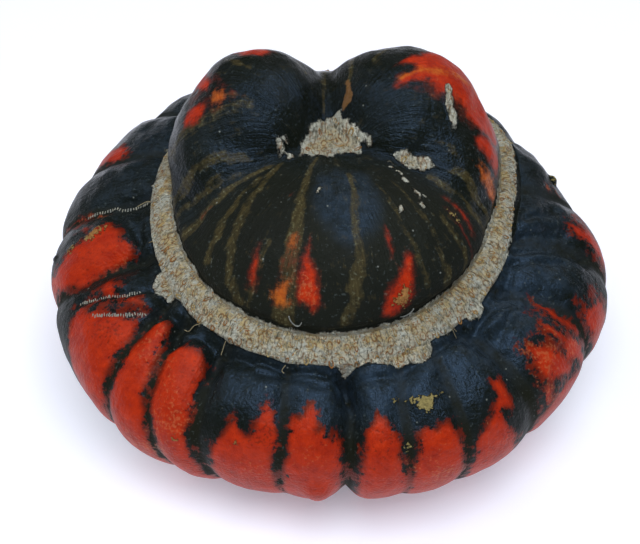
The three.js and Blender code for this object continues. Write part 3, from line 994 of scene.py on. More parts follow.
        # Name, pattern, the values where the share is none and full, how much is full, and what else limits it.
        for name, pattern, none, full, most, limit in (
            ("misted_sheen", "mottle", 0.3, 0.62, 1.0, "bloom_and_sheen"),
            ("grassy", "fine", 0.3, 0.75, 1.0, ""),
            ("flecked", "grain", 0.54, 0.70, 0.7, ""),
            ("picked", "pick", 0.55, 0.7, 0.6, ""),
            ("pricked", "prick", 0.10, 0.05, 1.0, "picked"),
            ("dusty", "grain", 0.62, 0.74, 0.6, "clouds"),
            ("bright", "mottle", 0.3, 0.7, 1.0, ""),
            ("scuffed", "scuff", 1.16, 1.3, 0.3, ""),
            ("burnt", "scuff", 0.84, 0.7, 0.6, ""),
            ("worn", "mottle", 0.57, 0.43, 1.0, ""),
            ("ringed", "rim", 0.11, 0.03, 0.8, "worn"),
            ("fibrous", "fibre", 0.38, 0.52, 1.0, ""),
            ("tanned", "mottle", 0.60, 0.42, 0.9, "inner"),
        ):
            share[name] = add_node(tree, "ShaderNodeMapRange", {
                "Value": found[pattern], "From Min": none, "From Max": full, "To Max": most})
            if limit:
                limiting = share[limit] if limit in share else found[limit]
                share[name] = add_node(tree, "ShaderNodeMath", {0: share[name], 1: limiting}, operation="MULTIPLY")
        striped = add_node(tree, "ShaderNodeMath", {0: found["mottle"], 1: 3.2, 2: -2.75}, operation="MULTIPLY_ADD")
        for pattern, gain in (("streak", 1.5), ("stripe", 1.4)):
            striped = add_node(tree, "ShaderNodeMath", {0: found[pattern], 1: gain, 2: striped},
                               operation="MULTIPLY_ADD")
        share["striped"] = add_node(tree, "ShaderNodeMapRange", {
            "Value": striped, "From Min": 0.1, "From Max": 0.9, "To Max": 0.9})
        share["ripe"] = add_node(tree, "ShaderNodeMapRange", {
            "Value": found["red_mm"], "From Min": 0.0, "From Max": 3.5}, interpolation_type="SMOOTHSTEP")
        share["lower"] = add_node(tree, "ShaderNodeMath", {0: found["under"], 1: found["mottle"]},
                                  operation="MULTIPLY")
        return share

    def colour(self, tree: bpy.types.NodeTree, share: dict[str, Any], clouds: Any, inside: dict[Mark, Any]) -> Any:
        """Lays the colours over each other: dark wax, blue-grey bloom that also paints sheen on the shoulders and the
        front lobe's top, stripes, ripe patches, healed spots and cork.

        Args:
            tree: The material's tree.
            share: Shares of single colours.
            clouds: Broad pattern of the dark wax.
            inside: How much of each marking shows.

        Returns:
            The node of the skin's colour.
        """
        olive = layered(tree, self.olive_deep, (share["grassy"], self.olive), (share["flecked"], self.olive_pale))
        red = layered(tree, self.red_deep, (share["bright"], self.red_bright))
        red = layered(tree, self.red_edge, (share["ripe"], red), (share["scuffed"], self.scuff),
                      (share["burnt"], self.red_edge))
        amber = layered(tree, self.orange_deep, (share["bright"], self.orange))
        healed = layered(tree, self.scab, (inside[Mark.RED], self.scab_warm))
        cork = layered(tree, self.cork, (share["tanned"], self.cork_warm))
        cork = layered(tree, self.cork_dark, (share["fibrous"], cork), (share["ringed"], self.ring))
        # The blue-grey bloom coat over the dark wax is partly painted sheen.
        return layered(
            tree, self.night, (clouds, self.slate), (share["misted_sheen"], self.bloom_and_sheen), (share["striped"], olive),
            (share["pricked"], self.speck), (share["dusty"], self.dust), (inside[Mark.RED], red),
            (inside[Mark.ORANGE], amber), (share["lower"], self.under), (inside[Mark.SCAB], healed),
            (inside[Mark.CORK], cork), (inside[Mark.RUST], self.rust))

    def material(self) -> bpy.types.Material:
        """Builds the material.

        Returns:
            The material, which reads the attributes of the skin.
        """
        material, tree = new_material(self.name)
        found = self.patterns(tree)
        inside = self.edges(tree, found)
        skin = self.colour(tree, self.shares(tree, found), found["clouds"], inside)
        dull = add_node(tree, "ShaderNodeMath", {0: inside[Mark.SCAB], 1: inside[Mark.CORK]}, operation="MAXIMUM")
        gloss = add_node(tree, "ShaderNodeMapRange", {
            "Value": found["mottle"], "From Min": 0.3, "From Max": 0.7, "To Min": 0.17, "To Max": 0.35})
        for covered, roughness in ((found["matt"], 0.75), (inside[Mark.RED], 0.42), (dull, 0.9)):
            gloss = add_node(tree, "ShaderNodeMix", {0: covered, 2: gloss, 3: roughness})
        # The wax shines blue only where it is whole: not on ripe patches, and not where it is rubbed.
        rubbed = add_node(tree, "ShaderNodeMath", {0: found["matt"], 1: inside[Mark.RED]}, operation="MAXIMUM")
        shine = layered(tree, self.sheen, (rubbed, self.plain_sheen))
        wax = add_node(tree, "ShaderNodeMath", {0: found["mottle"], 1: found["grain"]}, operation="ADD")
        wax = add_node(tree, "ShaderNodeMath", {0: found["streak"], 1: 1.6, 2: wax}, operation="MULTIPLY_ADD")
        wax = add_node(tree, "ShaderNodeBump", {"Strength": 0.55, "Distance": 0.7 * MM, "Height": wax})
        crust = add_node(tree, "ShaderNodeMath", {0: found["fibre"], 1: found["grain"]}, operation="ADD")
        crust = add_node(tree, "ShaderNodeMath", {0: dull, 1: crust}, operation="MULTIPLY")
        relief = add_node(tree, "ShaderNodeBump", {
            "Strength": 1.0, "Distance": 1.8 * MM, "Height": crust, "Normal": wax})
        shader = add_node(tree, "ShaderNodeBsdfPrincipled", {
            "Base Color": skin, "Roughness": gloss, "Normal": relief, "IOR": 1.45, "Specular IOR Level": 0.24,
            "Specular Tint": shine})
        add_node(tree, "ShaderNodeOutputMaterial", {"Surface": shader})
        return material


@dataclass(frozen=True)
class DryCork:
    """Dry cork: dead, fibrous tissue that healed over cracks. Matt, chalky grey to tan, with rusty pores."""

    name: str = "dry cork grain"
    rust: str = "#8c4f1c"
    tan: str = "#a8925e"
    chalk: str = "#aca893"
    slate: str = "#8a8e88"

    def material(self) -> bpy.types.Material:
        """Builds the material.

        Returns:
            The material; the attribute tone picks the colour of a grain.
        """
        material, tree = new_material(self.name)
        place = add_node(tree, "ShaderNodeTexCoord").outputs["Object"]
        tone = add_node(tree, "ShaderNodeAttribute", attribute_name="tone").outputs["Fac"]
        grit = add_node(tree, "ShaderNodeTexNoise", {"Vector": place, "Scale": per_mm(0.9), "Detail": 3.0})
        ramp = add_node(tree, "ShaderNodeValToRGB", {"Fac": tone})
        stops = ramp.color_ramp.elements
        stops[0].position, stops[0].color = 0.0, linear(self.rust)
        stops[1].position, stops[1].color = 1.0, linear(self.slate)
        stops.new(0.22).color = linear(self.tan)
        stops.new(0.75).color = linear(self.chalk)
        shade = add_node(tree, "ShaderNodeMapRange", {"Value": grit, "From Min": 0.3, "From Max": 0.7, "To Min": 0.62,
                                                      "To Max": 1.1})
        colour = add_node(tree, "ShaderNodeVectorMath", {0: ramp.outputs["Color"], 3: shade}, operation="SCALE")
        bump = add_node(tree, "ShaderNodeBump", {"Strength": 0.6, "Distance": 0.3 * MM, "Height": grit})
        shader = add_node(tree, "ShaderNodeBsdfPrincipled", {"Base Color": colour, "Roughness": 0.92, "Normal": bump,
                                                             "Specular IOR Level": 0.25})
        add_node(tree, "ShaderNodeOutputMaterial", {"Surface": shader})
        return material


@dataclass(frozen=True)
class DryStem:
    """Dry squash stem: corky, grooved along its length, grey-tan and matt, with darker and lighter streaks that run
    along it.
    """

    name: str = "dry corky squash stem"
    light: str = "#a8946a"
    dark: str = "#5b4a2c"

    def material(self) -> bpy.types.Material:
        """Builds the material.

        Returns:
            The material.
        """
        material, tree = new_material(self.name)
        place = add_node(tree, "ShaderNodeTexCoord").outputs["Object"]
        drawn = add_node(tree, "ShaderNodeVectorMath", {0: place, 1: (1.0, 1.0, 0.22)}, operation="MULTIPLY")
        grain = add_node(tree, "ShaderNodeTexNoise", {"Vector": drawn, "Scale": per_mm(1.3), "Detail": 4.0})
        tone = add_node(tree, "ShaderNodeMapRange", {"Value": grain, "From Min": 0.32, "From Max": 0.66})
        colour = layered(tree, self.dark, (tone, self.light))
        bump = add_node(tree, "ShaderNodeBump", {"Strength": 0.7, "Distance": 0.6 * MM, "Height": grain})
        shader = add_node(tree, "ShaderNodeBsdfPrincipled", {"Base Color": colour, "Roughness": 0.85, "Normal": bump})
        add_node(tree, "ShaderNodeOutputMaterial", {"Surface": shader})
        return material


@dataclass(frozen=True)
class MattCard:
    """White card sweep under the fruit that glows with painted light: matt, with a trace of tooth; the glow is
    strongest round the fruit, fades far away, and is weaker right under the fruit as a painted contact shadow.
    """

    name: str = "matt white card with painted glow"
    white: str = "#dadee4"
    glow: float = 0.5
    far_glow: float = 0.1
    glow_tint: str = "#eceeff"
    # Radii in metres over which the painted contact shadow under the fruit gives way to the full glow.
    contact_shadow_span: tuple[float, float] = (0.05, 0.105)
    glow_edge: tuple[float, float] = (0.32, 0.7)

    def material(self) -> bpy.types.Material:
        """Builds the material.

        Returns:
            The material.
        """
        material, tree = new_material(self.name)
        place = add_node(tree, "ShaderNodeTexCoord").outputs["Object"]
        tooth = add_node(tree, "ShaderNodeTexNoise", {"Vector": place, "Scale": per_mm(2.0)})
        bump = add_node(tree, "ShaderNodeBump", {"Strength": 0.05, "Distance": 0.1 * MM, "Height": tooth})
        away = add_node(tree, "ShaderNodeVectorMath", {0: place}, operation="LENGTH").outputs["Value"]
        # Painted light: the card glows most round the fruit and less far away.
        glow = add_node(tree, "ShaderNodeMapRange", {"Value": away, "From Min": self.glow_edge[0],
                                                     "From Max": self.glow_edge[1], "To Min": self.glow,
                                                     "To Max": self.far_glow}, interpolation_type="SMOOTHSTEP")
        # Painted contact shadow: the glow is weaker right under the fruit.
        lit = add_node(tree, "ShaderNodeMapRange", {"Value": away, "From Min": self.contact_shadow_span[0],
                                                    "From Max": self.contact_shadow_span[1], "To Min": 0.35},
                       interpolation_type="SMOOTHSTEP")
        glow = add_node(tree, "ShaderNodeMath", {0: glow, 1: lit}, operation="MULTIPLY")
        shader = add_node(tree, "ShaderNodeBsdfPrincipled", {"Base Color": linear(self.white), "Roughness": 0.8,
                                                             "Emission Color": linear(self.glow_tint),
                                                             "Emission Strength": glow, "Normal": bump})
        add_node(tree, "ShaderNodeOutputMaterial", {"Surface": shader})
        return material


@dataclass
class Squash:
    """The whole fruit as one skin, with its markings as attributes in mm."""

    shape: FruitShape
    finish: WaxyRind
    columns: int = 480
    basin_rows: int = 12
    lower_rows: int = 26
    upper_rows: int = 60
    band_rows: int = 22
    cap_rows: int = 76
    speckle: float = 0.6
    rib_crown: float = 0.45
    rib_groove: float = 0.75
    rib_power: float = 2.4
    shoulder_fade: float = 0.45
    side_fade: float = 0.45
    groove_power: float = 1.7
    cork_height: float = 0.9
    flank_scale: tuple[float, float] = (1.9, 108.0)
    cap_scale: tuple[float, float] = (1.12, 95.0)
    patch_wander: float = 1.3
    stripe_wander: float = 1.6
    bloom_sheen_wander: float = 1.0
    crease_wander: float = 0.8
    stripe_ground: float = 0.16
    # Jags of the cork's edge: height and size in mm, and seed.
    cork_jags: tuple[tuple[float, float, int], ...] = ((1.6, 5.0, 11), (0.9, 2.4, 12))
    cork_margin: float = 0.7
    cork_least: float = 1.8
    band_slope: float = 0.707
    bloom_sheen_flank: float = 0.2
    bloom_sheen_cap: tuple[float, float] = (0.04, 0.7)
    rubbed_lobe: float = 0.75
    rubbed_ring: float = 0.55
    cap_lumps: float = 0.75
    band_lumps: float = 0.6
    brown_base: float = 0.8
    flank_bleed: float = 0.25
    lump_heights: tuple[float, float] = (1.0, 0.36)
    cork_roughness: float = 0.4
    scab_height: float = 0.45
    root_depth: float = 1.7
    pit_depth: float = 2.2
    pit_radius: float = 3.2
    saddle_height: float = 2.6
    saddle_radius: float = 13.0
    zone: Array = field(init=False)
    share: Array = field(init=False)
    bearing: Array = field(init=False)
    place: Array = field(init=False)
    normal: Array = field(init=False)
    skin: Array = field(init=False)
    drift: list[Array] = field(init=False)
    fields: dict[str, Array] = field(init=False)

    def lay_grid(self) -> None:
        """Lays out the rows and columns of the skin, with the smooth form's points and normals."""
        spans = (
            (Zone.BASIN, np.linspace(0, 1, self.basin_rows + 1)[1:]),
            (Zone.FLANK, np.linspace(0, 0.5, self.lower_rows, endpoint=False)),
            (Zone.FLANK, np.linspace(0.5, 1, self.upper_rows, endpoint=False)),
            (Zone.BAND, np.linspace(0, 1, self.band_rows, endpoint=False)),
            (Zone.CAP, np.linspace(0, 1, self.cap_rows, endpoint=False)),
        )
        columns = np.arange(self.columns) * 360.0 / self.columns - 180.0
        self.zone = np.concatenate([[zone.value] * len(shares) for zone, shares in spans])
        self.share, self.bearing = np.meshgrid(np.concatenate([shares for _, shares in spans]), columns, indexing="ij")
        self.place = np.concatenate([
            self.shape.points(zone, *np.meshgrid(columns, shares)) for zone, shares in spans])
        across = np.roll(self.place, -1, 1) - np.roll(self.place, 1, 1)
        normal = np.cross(across, np.gradient(self.place, axis=0))
        self.normal = normal / np.maximum(np.linalg.norm(normal, axis=-1, keepdims=True), 1e-9)

    def rows(self, zone: Zone) -> Array:
        """Rows of the grid that belong to a zone."""
        return np.flatnonzero(self.zone == zone.value)

    def scale(self, zone: Zone, path: Path) -> tuple[float, float]:
        """Millimetres for a degree and for a whole share, near a path.

        Args:
            zone: Zone that the path is on.
            path: Steps of bearing and share.

        Returns:
            Both scales.
        """
        if zone is Zone.FLANK:
            return self.flank_scale
        shares = [share for _, share in path]
        return self.cap_scale[0] * (1.0 - 0.5 * sum(shares) / len(shares)), self.cap_scale[1]

    def to_path(self, zone: Zone, path: Path, closed: bool, wander: float) -> tuple[Array, Array]:
        """Distance in mm from the skin's points to a path of bearing and share.

        Args:
            zone: Zone that the path is on.
            path: Steps of bearing and share.
            closed: Whether the path is an outline.
            wander: How far noise bends the path, in mm.

        Returns:
            The zone's rows, and the distances, negative inside an outline.
        """
        rows = self.rows(zone)
        wide, tall = self.scale(zone, path)
        middle = sum(bearing for bearing, _ in path) / len(path)
        x = turned(self.bearing[rows] - middle) * wide + wander * self.drift[0][rows]
        y = self.share[rows] * tall + wander * self.drift[1][rows]
        corners = np.array([((bearing - middle) * wide, share * tall) for bearing, share in path])
        return rows, path_distance(x, y, corners, closed)

    def markings(self) -> dict[str, Array]:
        """Works out every marking of the skin.

        Returns:
            Fields on the grid by attribute name.
        """
        self.drift = [coherent(self.place, 7.0, seed) + 0.5 * coherent(self.place, 3.0, seed + 5) for seed in (1, 2)]
        fields = {mark: np.full(self.share.shape, -FAR_MM) for mark in Mark}
        for patch in PATCHES:
            rows, distance = self.to_path(patch.zone, patch.outline, True, self.patch_wander)
            fields[patch.mark][rows] = np.maximum(fields[patch.mark][rows], -distance)
        for zone, outline in SPECKLED:
            rows, distance = self.to_path(zone, outline, True, self.patch_wander)
            fields[Mark.RED][rows] = np.maximum(fields[Mark.RED][rows], np.minimum(-distance, self.speckle))
        stripe = np.zeros(self.share.shape)
        stripe[self.rows(Zone.CAP)] = self.stripe_ground
        for streak in STRIPES:
            rows, distance = self.to_path(streak.zone, streak.path, False, self.stripe_wander)
            faded = streak.strength * (1 - smoothstep(0.4 * streak.width, 1.3 * streak.width, distance))
            stripe[rows] = np.maximum(stripe[rows], faded)
        cork = fields[Mark.CORK]
        flank, band, cap = self.rows(Zone.FLANK), self.rows(Zone.BAND), self.rows(Zone.CAP)
        jagged = sum(height * coherent(self.place, size, seed) for height, size, seed in self.cork_jags)
        inset = sum(swelling.at(self.bearing) for swelling in CORK_INSETS)
        outer = (self.share - 1.0) * self.flank_scale[1] - self.cork_margin - inset + jagged
        cork[flank] = np.maximum(cork[flank], outer[flank])
        width = math.hypot(self.shape.band_inward, self.shape.band_rise)
        outer = np.maximum(width * self.share + jagged, self.cork_least) - inset
        cork[band] = np.where(self.share[band] > 0.5, np.maximum(outer[band], 0.5), outer[band])
        scar = path_distance(self.place[cap, :, 0] + 1.2 * jagged[cap], self.place[cap, :, 1] + jagged[cap],
                             np.array(SCAR_OUTLINE, float), True)
        x, y = self.place[cap, :, 0], self.place[cap, :, 1]
        for fleck in SCAR_FLECKS:
            scar = np.minimum(scar, np.hypot(x - fleck[0], y - fleck[1]) - fleck[2] + 0.5 * jagged[cap])
        on_top = self.share[cap] > 0.5
        cork[cap] = np.maximum(cork[cap], np.where(on_top, -scar, -FAR_MM))
        tongue = path_distance(x + 0.4 * jagged[cap], y, np.array(SCAR_TONGUE, float), True)
        fields[Mark.RUST][cap] = np.where(on_top, -tongue, -FAR_MM)
        cork[cap] = np.maximum(cork[cap], 0.4 - self.share[cap] * self.cap_scale[1])
        # Bloom share: real wax bloom, painted sheen by bearing on the shoulders, and a painted highlight on the front
        # lobe's top.
        bloom_and_sheen = np.zeros(self.share.shape)
        misty_sheen = self.bloom_sheen_flank + sum(mist.at(self.bearing[flank]) for mist in BLOOM_SHEEN_SWELLINGS)
        bloom_and_sheen[flank] = smoothstep(0.6, 0.88, self.share[flank]) * misty_sheen
        rows, distance = self.to_path(Zone.CAP, BLOOM_SHEEN_CAP, True, self.bloom_sheen_wander)
        bloom_and_sheen[rows] = self.bloom_sheen_cap[0] + self.bloom_sheen_cap[1] * smoothstep(-2.0, 9.0, -distance)
        bleed = np.full(self.share.shape, self.flank_bleed)
        bleed[cap] = 1.0
        # The front lobe is rubbed dull, apart from its misted top with the painted highlight, and so are the lower ring
        # and the furrows.
        matt = np.zeros(self.share.shape)
        facing = 1 - smoothstep(55.0, 80.0, np.abs(self.bearing[cap]))
        facing = facing * (1 - smoothstep(0.55, 0.75, self.share[cap]))
        matt[cap] = self.rubbed_lobe * facing * (1 - smoothstep(-1.0, 8.0, -distance))
        low = self.rubbed_ring * (1 - smoothstep(0.5, 0.75, self.share[flank]))
        matt[flank] = np.maximum(low, smoothstep(0.35, 0.8, self.furrow_share()[flank]))
        under = np.zeros(self.share.shape)
        under[self.rows(Zone.BASIN)] = self.brown_base
        under[flank] = self.brown_base * (1 - smoothstep(0.05, 0.22, self.share[flank]))
        return {mark.value: field for mark, field in fields.items()} | {
            "stripe": stripe, "bloom_and_sheen": bloom_and_sheen, "under": under, "bleed": bleed, "matt": matt}

    def furrow_share(self) -> Array:
        """How near each point of the ring is to the bottom of a furrow, from 0 to 1.

        Returns:
            One number for each point of the grid.
        """
        rows = self.rows(Zone.FLANK)
        nearness = np.zeros(self.share.shape)
        for furrow in FURROWS:
            apart = turned(self.bearing[rows] - furrow.bearing_at(self.share[rows]))
            nearness[rows] = np.maximum(nearness[rows], np.exp(-(apart / (0.6 * furrow.width)) ** 2))
        return nearness

    def ribs(self) -> Array:
        """Depth of the skin below the smooth form between and beside the ribs of the ring, in mm.

        Returns:
            One depth for each point of the grid.
        """
        rows = self.rows(Zone.FLANK)
        share, bearing = self.share[rows], self.bearing[rows]
        apart = np.stack([turned(bearing - furrow.bearing_at(share)) for furrow in FURROWS])
        depth = np.array([furrow.depth for furrow in FURROWS])
        width = np.array([furrow.width for furrow in FURROWS])[:, None, None]
        behind = np.where(apart >= 0, apart, 360.0)
        ahead = np.where(apart < 0, -apart, 360.0)
        near, far = behind.min(0), ahead.min(0)
        over = near / (near + far)
        edge = depth[behind.argmin(0)] * (1 - over) + depth[ahead.argmin(0)] * over
        bowed = np.abs(2 * over - 1) ** self.rib_power
        groove = (depth[:, None, None] * np.exp(-(np.abs(apart) / width) ** self.groove_power)).max(0)
        strength = (0.7 + 0.3 * np.abs(2 * share - 1)) * smoothstep(0.02, 0.16, share)
        strength = strength * (1 - self.shoulder_fade * smoothstep(0.92, 1.0, share))
        aside = 1 - smoothstep(120.0, 145.0, np.abs(bearing))
        strength = strength * (1 - self.side_fade * aside * (1 - smoothstep(0.6, 0.85, share)))
        depths = np.zeros(self.share.shape)
        depths[rows] = strength * (self.rib_crown * edge * bowed + self.rib_groove * groove)
        return depths

    def relief(self, fields: dict[str, Array]) -> Array:
        """Height of the skin over the smooth form, in mm.

        Args:
            fields: The markings.

        Returns:
            One height for each point of the grid.
        """
        flank, band, cap = self.rows(Zone.FLANK), self.rows(Zone.BAND), self.rows(Zone.CAP)
        height = -self.ribs()
        for crease in CREASES:
            rows, distance = self.to_path(crease.zone, crease.path, False, self.crease_wander)
            height[rows] -= crease.strength * np.exp(-(distance / crease.width) ** 2)
        broad, lumps, dimples = (coherent(self.place, size, seed) for size, seed in ((24.0, 21), (10.0, 22), (4.5, 23)))
        lively = np.zeros(self.share.shape)
        upper = 0.45 + 0.55 * smoothstep(0.6, 0.85, self.share[flank])
        lively[flank] = smoothstep(0.03, 0.2, self.share[flank]) * upper
        lively[cap] = self.cap_lumps
        lumpy = np.full(self.share.shape, 0.9)
        lumpy[flank] += smoothstep(0.78, 0.9, self.share[flank])
        lively[band] = self.band_lumps
        height += lively * (self.lump_heights[0] * broad + lumpy * lumps + self.lump_heights[1] * dimples)
        wide, tall = self.flank_scale
        for bearing, share, radius, rise in KNOBS:
            apart = np.hypot(turned(self.bearing[flank] - bearing) * wide, (self.share[flank] - share) * tall)
            height[flank] += rise * np.exp(-(apart / radius) ** 4)
        raised = smoothstep(-0.5, 0.7, fields["cork_mm"])
        rough = coherent(self.place, 2.0, 31) + coherent(self.place, 4.4, 32)
        height += raised * (self.cork_height + self.cork_roughness * rough)
        height += self.scab_height * smoothstep(-0.4, 0.5, fields["scab_mm"])
        height[band] += 0.5 * np.sin(np.pi * self.share[band])
        height[band] -= self.root_depth * smoothstep(0.75, 1.0, self.share[band])
        height[cap] -= self.root_depth * (1 - smoothstep(0.0, 0.05, self.share[cap]))
        pit = np.hypot(self.place[cap, :, 0] - SCAR_PIT[0], self.place[cap, :, 1] - SCAR_PIT[1])
        height[cap] -= self.pit_depth * np.exp(-(pit / self.pit_radius) ** 2) * (self.share[cap] > 0.5)
        saddle = np.hypot(self.place[cap, :, 0] - SADDLE[0], self.place[cap, :, 1] - SADDLE[1])
        height[cap] += self.saddle_height * np.exp(-(saddle / self.saddle_radius) ** 2)
        height[self.rows(Zone.BASIN)] = 0.0
        return height

    def build(self) -> bpy.types.Object:
        """Builds the skin's mesh with its attributes and UV map.

        Returns:
            The piece.
        """
        self.lay_grid()
        fields = self.markings()
        self.fields = fields
        self.skin = self.place + self.normal * self.relief(fields)[..., None]
        self.skin[..., 2] = np.maximum(self.skin[..., 2], 0.0)
        rows, columns = self.share.shape
        middle = np.array([self.shape.shift[0], self.shape.shift[1], self.shape.basin_depth])
        crown = self.skin[-1].mean(0)
        vertices = np.concatenate([self.skin.reshape(-1, 3), [middle, crown]]) * MM
        mesh = bpy.data.meshes.new("squash_skin")
        mesh.from_pydata(vertices.tolist(), [], closed_faces(rows, columns))
        spread = np.concatenate([self.cork_places().reshape(-1, 3), np.zeros((2, 3))])
        mesh.attributes.new("cork_place", "FLOAT_VECTOR", "POINT").data.foreach_set(
            "vector", spread.astype(np.float32).ravel())
        for name, field in fields.items():
            values = np.concatenate([field.ravel(), [field[0].mean(), field[-1].mean()]])
            mesh.attributes.new(name, "FLOAT", "POINT").data.foreach_set("value", values.astype(np.float32))
        self.map_uv(mesh, rows, columns)
        mesh.shade_smooth()
        return new_object("squash_skin", mesh)

    def cork_places(self) -> Array:
        """Places on the cork as mm across and mm away from the middle, so that its cells can point outwards.

        Returns:
            One place for each point of the grid.
        """
        radius = np.hypot(self.place[..., 0], self.place[..., 1])
        ring = np.stack([np.radians(self.bearing) * self.shape.band_radius,
                         (radius - self.place[..., 2]) * self.band_slope, 0.0 * radius], -1)
        flat = self.place * np.array([1.0, 1.0, 0.0])
        on_top = (self.zone == Zone.CAP.value)[:, None, None]
        return np.where(on_top, flat, ring)

    def map_uv(self, mesh: bpy.types.Mesh, rows: int, columns: int) -> None:
        """Unrolls the skin: u goes round the fruit and v from the stem end to the top.

        Args:
            mesh: The skin's mesh.
            rows: Rows of the grid.
            columns: Columns of the grid.
        """
        steps = np.linalg.norm(np.diff(self.place, axis=0), axis=-1).mean(1)
        climb = np.concatenate([[0.0], np.cumsum(steps)])
        climb = 0.01 + 0.98 * climb / climb[-1]
        u = np.arange(columns) / columns
        quad_u = np.stack([u, u + 1 / columns, u + 1 / columns, u], -1)
        quad_v = np.stack([climb[:-1], climb[:-1], climb[1:], climb[1:]], -1)
        quads = np.stack([np.broadcast_to(quad_u[None], (rows - 1, columns, 4)),
                          np.broadcast_to(quad_v[:, None], (rows - 1, columns, 4))], -1).reshape(-1, 2)
        half = u + 0.5 / columns
        low = np.stack([np.stack([half, u + 1 / columns, u], -1),
                        np.broadcast_to([0.0, climb[0], climb[0]], (columns, 3))], -1).reshape(-1, 2)
        high = np.stack([np.stack([half, u, u + 1 / columns], -1),
                         np.broadcast_to([1.0, climb[-1], climb[-1]], (columns, 3))], -1).reshape(-1, 2)
        layer = mesh.uv_layers.new(name=BAKE_UV)
        layer.data.foreach_set("uv", np.concatenate([quads, low, high]).astype(np.float32).ravel())

    def cork_mesh(self, inside: float) -> bpy.types.Mesh:
        """Copies the faces that lie in cork.

        Args:
            inside: How far inside the cork's edge a face has to be, in mm.

        Returns:
            A mesh that grain can grow on.
        """
        quads = grid_quads(*self.share.shape)
        quads = quads[self.fields["cork_mm"].ravel()[quads].min(1) > inside]
        used, faces = np.unique(quads, return_inverse=True)
        mesh = bpy.data.meshes.new("cork_ground")
        mesh.from_pydata((self.skin.reshape(-1, 3)[used] * MM).tolist(), [], faces.reshape(-1, 4).tolist())
        return mesh

    def on_skin(self, zone: Zone, bearing: float, share: float) -> tuple[Array, Array]:
        """Point and normal of the finished skin.

        Args:
            zone: Part of the skin.
            bearing: Degrees.
            share: Share of the zone.

        Returns:
            The point in mm, and the normal.
        """
        rows = self.rows(zone)
        row = rows[np.abs(self.share[rows, 0] - share).argmin()]
        column = int(round((bearing + 180.0) * self.columns / 360.0)) % self.columns
        return self.skin[row, column], self.normal[row, column]

    def dress(self, piece: bpy.types.Object) -> None:
        """Gives the skin its finish."""
        piece.data.materials.append(self.finish.material())


@dataclass
class CorkGrain:
    """Grains and short fibres that roughen the cork band and the scars."""

    finish: bpy.types.Material
    grain: float = 0.5
    grain_spacing: float = 5.0
    fibre_length: float = 2.0
    fibre_width: float = 0.25
    fibre_spacing: float = 2.6
    seed: int = 7

    def tree(self) -> bpy.types.NodeTree:
        """Builds the tree that scatters grains and fibres.

        Returns:
            The Geometry Nodes tree.
        """
        tree, given = new_growth("cork_grain", {"Grain": 0.001, "Grain density": 1.0, "Fibre length": 0.001,
                                                "Fibre width": 0.001, "Fibre density": 1.0, "Seed": 1})
        ball = add_node(tree, "GeometryNodeMeshIcoSphere", {"Radius": given["Grain"], "Subdivisions": 1})
        spike = add_node(tree, "GeometryNodeMeshCone", {"Vertices": 5, "Radius Top": 0.0,
                                                        "Radius Bottom": given["Fibre width"],
                                                        "Depth": given["Fibre length"]})
        spike = add_node(tree, "GeometryNodeTransform", {"Geometry": spike, "Rotation": (0.0, 1.45, 0.0)})
        grown_parts = []
        for index, (shape, density, low, high) in enumerate((
            (ball, given["Grain density"], (0.6, 0.5, 0.2), (1.8, 1.2, 0.45)),
            (spike, given["Fibre density"], (0.5, 0.7, 0.7), (1.3, 1.3, 1.2)),
        )):
            points = add_node(tree, "GeometryNodeDistributePointsOnFaces", {
                "Mesh": given["Geometry"], "Density": density, "Seed": given["Seed"]})
            spin = add_node(tree, "FunctionNodeRandomValue", {0: (-0.25, -0.3, 0.0), 1: (0.25, 0.3, 6.28),
                                                              "Seed": 3 + index}, data_type="FLOAT_VECTOR")
            spin = add_node(tree, "FunctionNodeEulerToRotation", {0: spin})
            turn = add_node(tree, "FunctionNodeRotateRotation", {0: points.outputs["Rotation"], 1: spin},
                            rotation_space="LOCAL")
            size = add_node(tree, "FunctionNodeRandomValue", {0: low, 1: high, "Seed": 5 + index},
                            data_type="FLOAT_VECTOR")
            grown_parts.append(set_copies(tree, points, shape, turn, size, (0.0, 1.0), 8 + index))
        both = add_node(tree, "GeometryNodeJoinGeometry")
        for part in grown_parts:
            tree.links.new(part.outputs[0], both.inputs[0])
        return end_growth(tree, both, self.finish)

    def build(self, ground: bpy.types.Mesh) -> bpy.types.Object:
        """Grows the grain on the cork.

        Args:
            ground: Faces of the skin that are cork.

        Returns:
            The piece.
        """
        return grown("cork_grain", ground, self.tree(), {
            "Grain": self.grain * MM,
            "Grain density": 1.0 / (self.grain_spacing * MM) ** 2,
            "Fibre length": self.fibre_length * MM,
            "Fibre width": self.fibre_width * MM,
            "Fibre density": 1.0 / (self.fibre_spacing * MM) ** 2,
            "Seed": self.seed,
        })


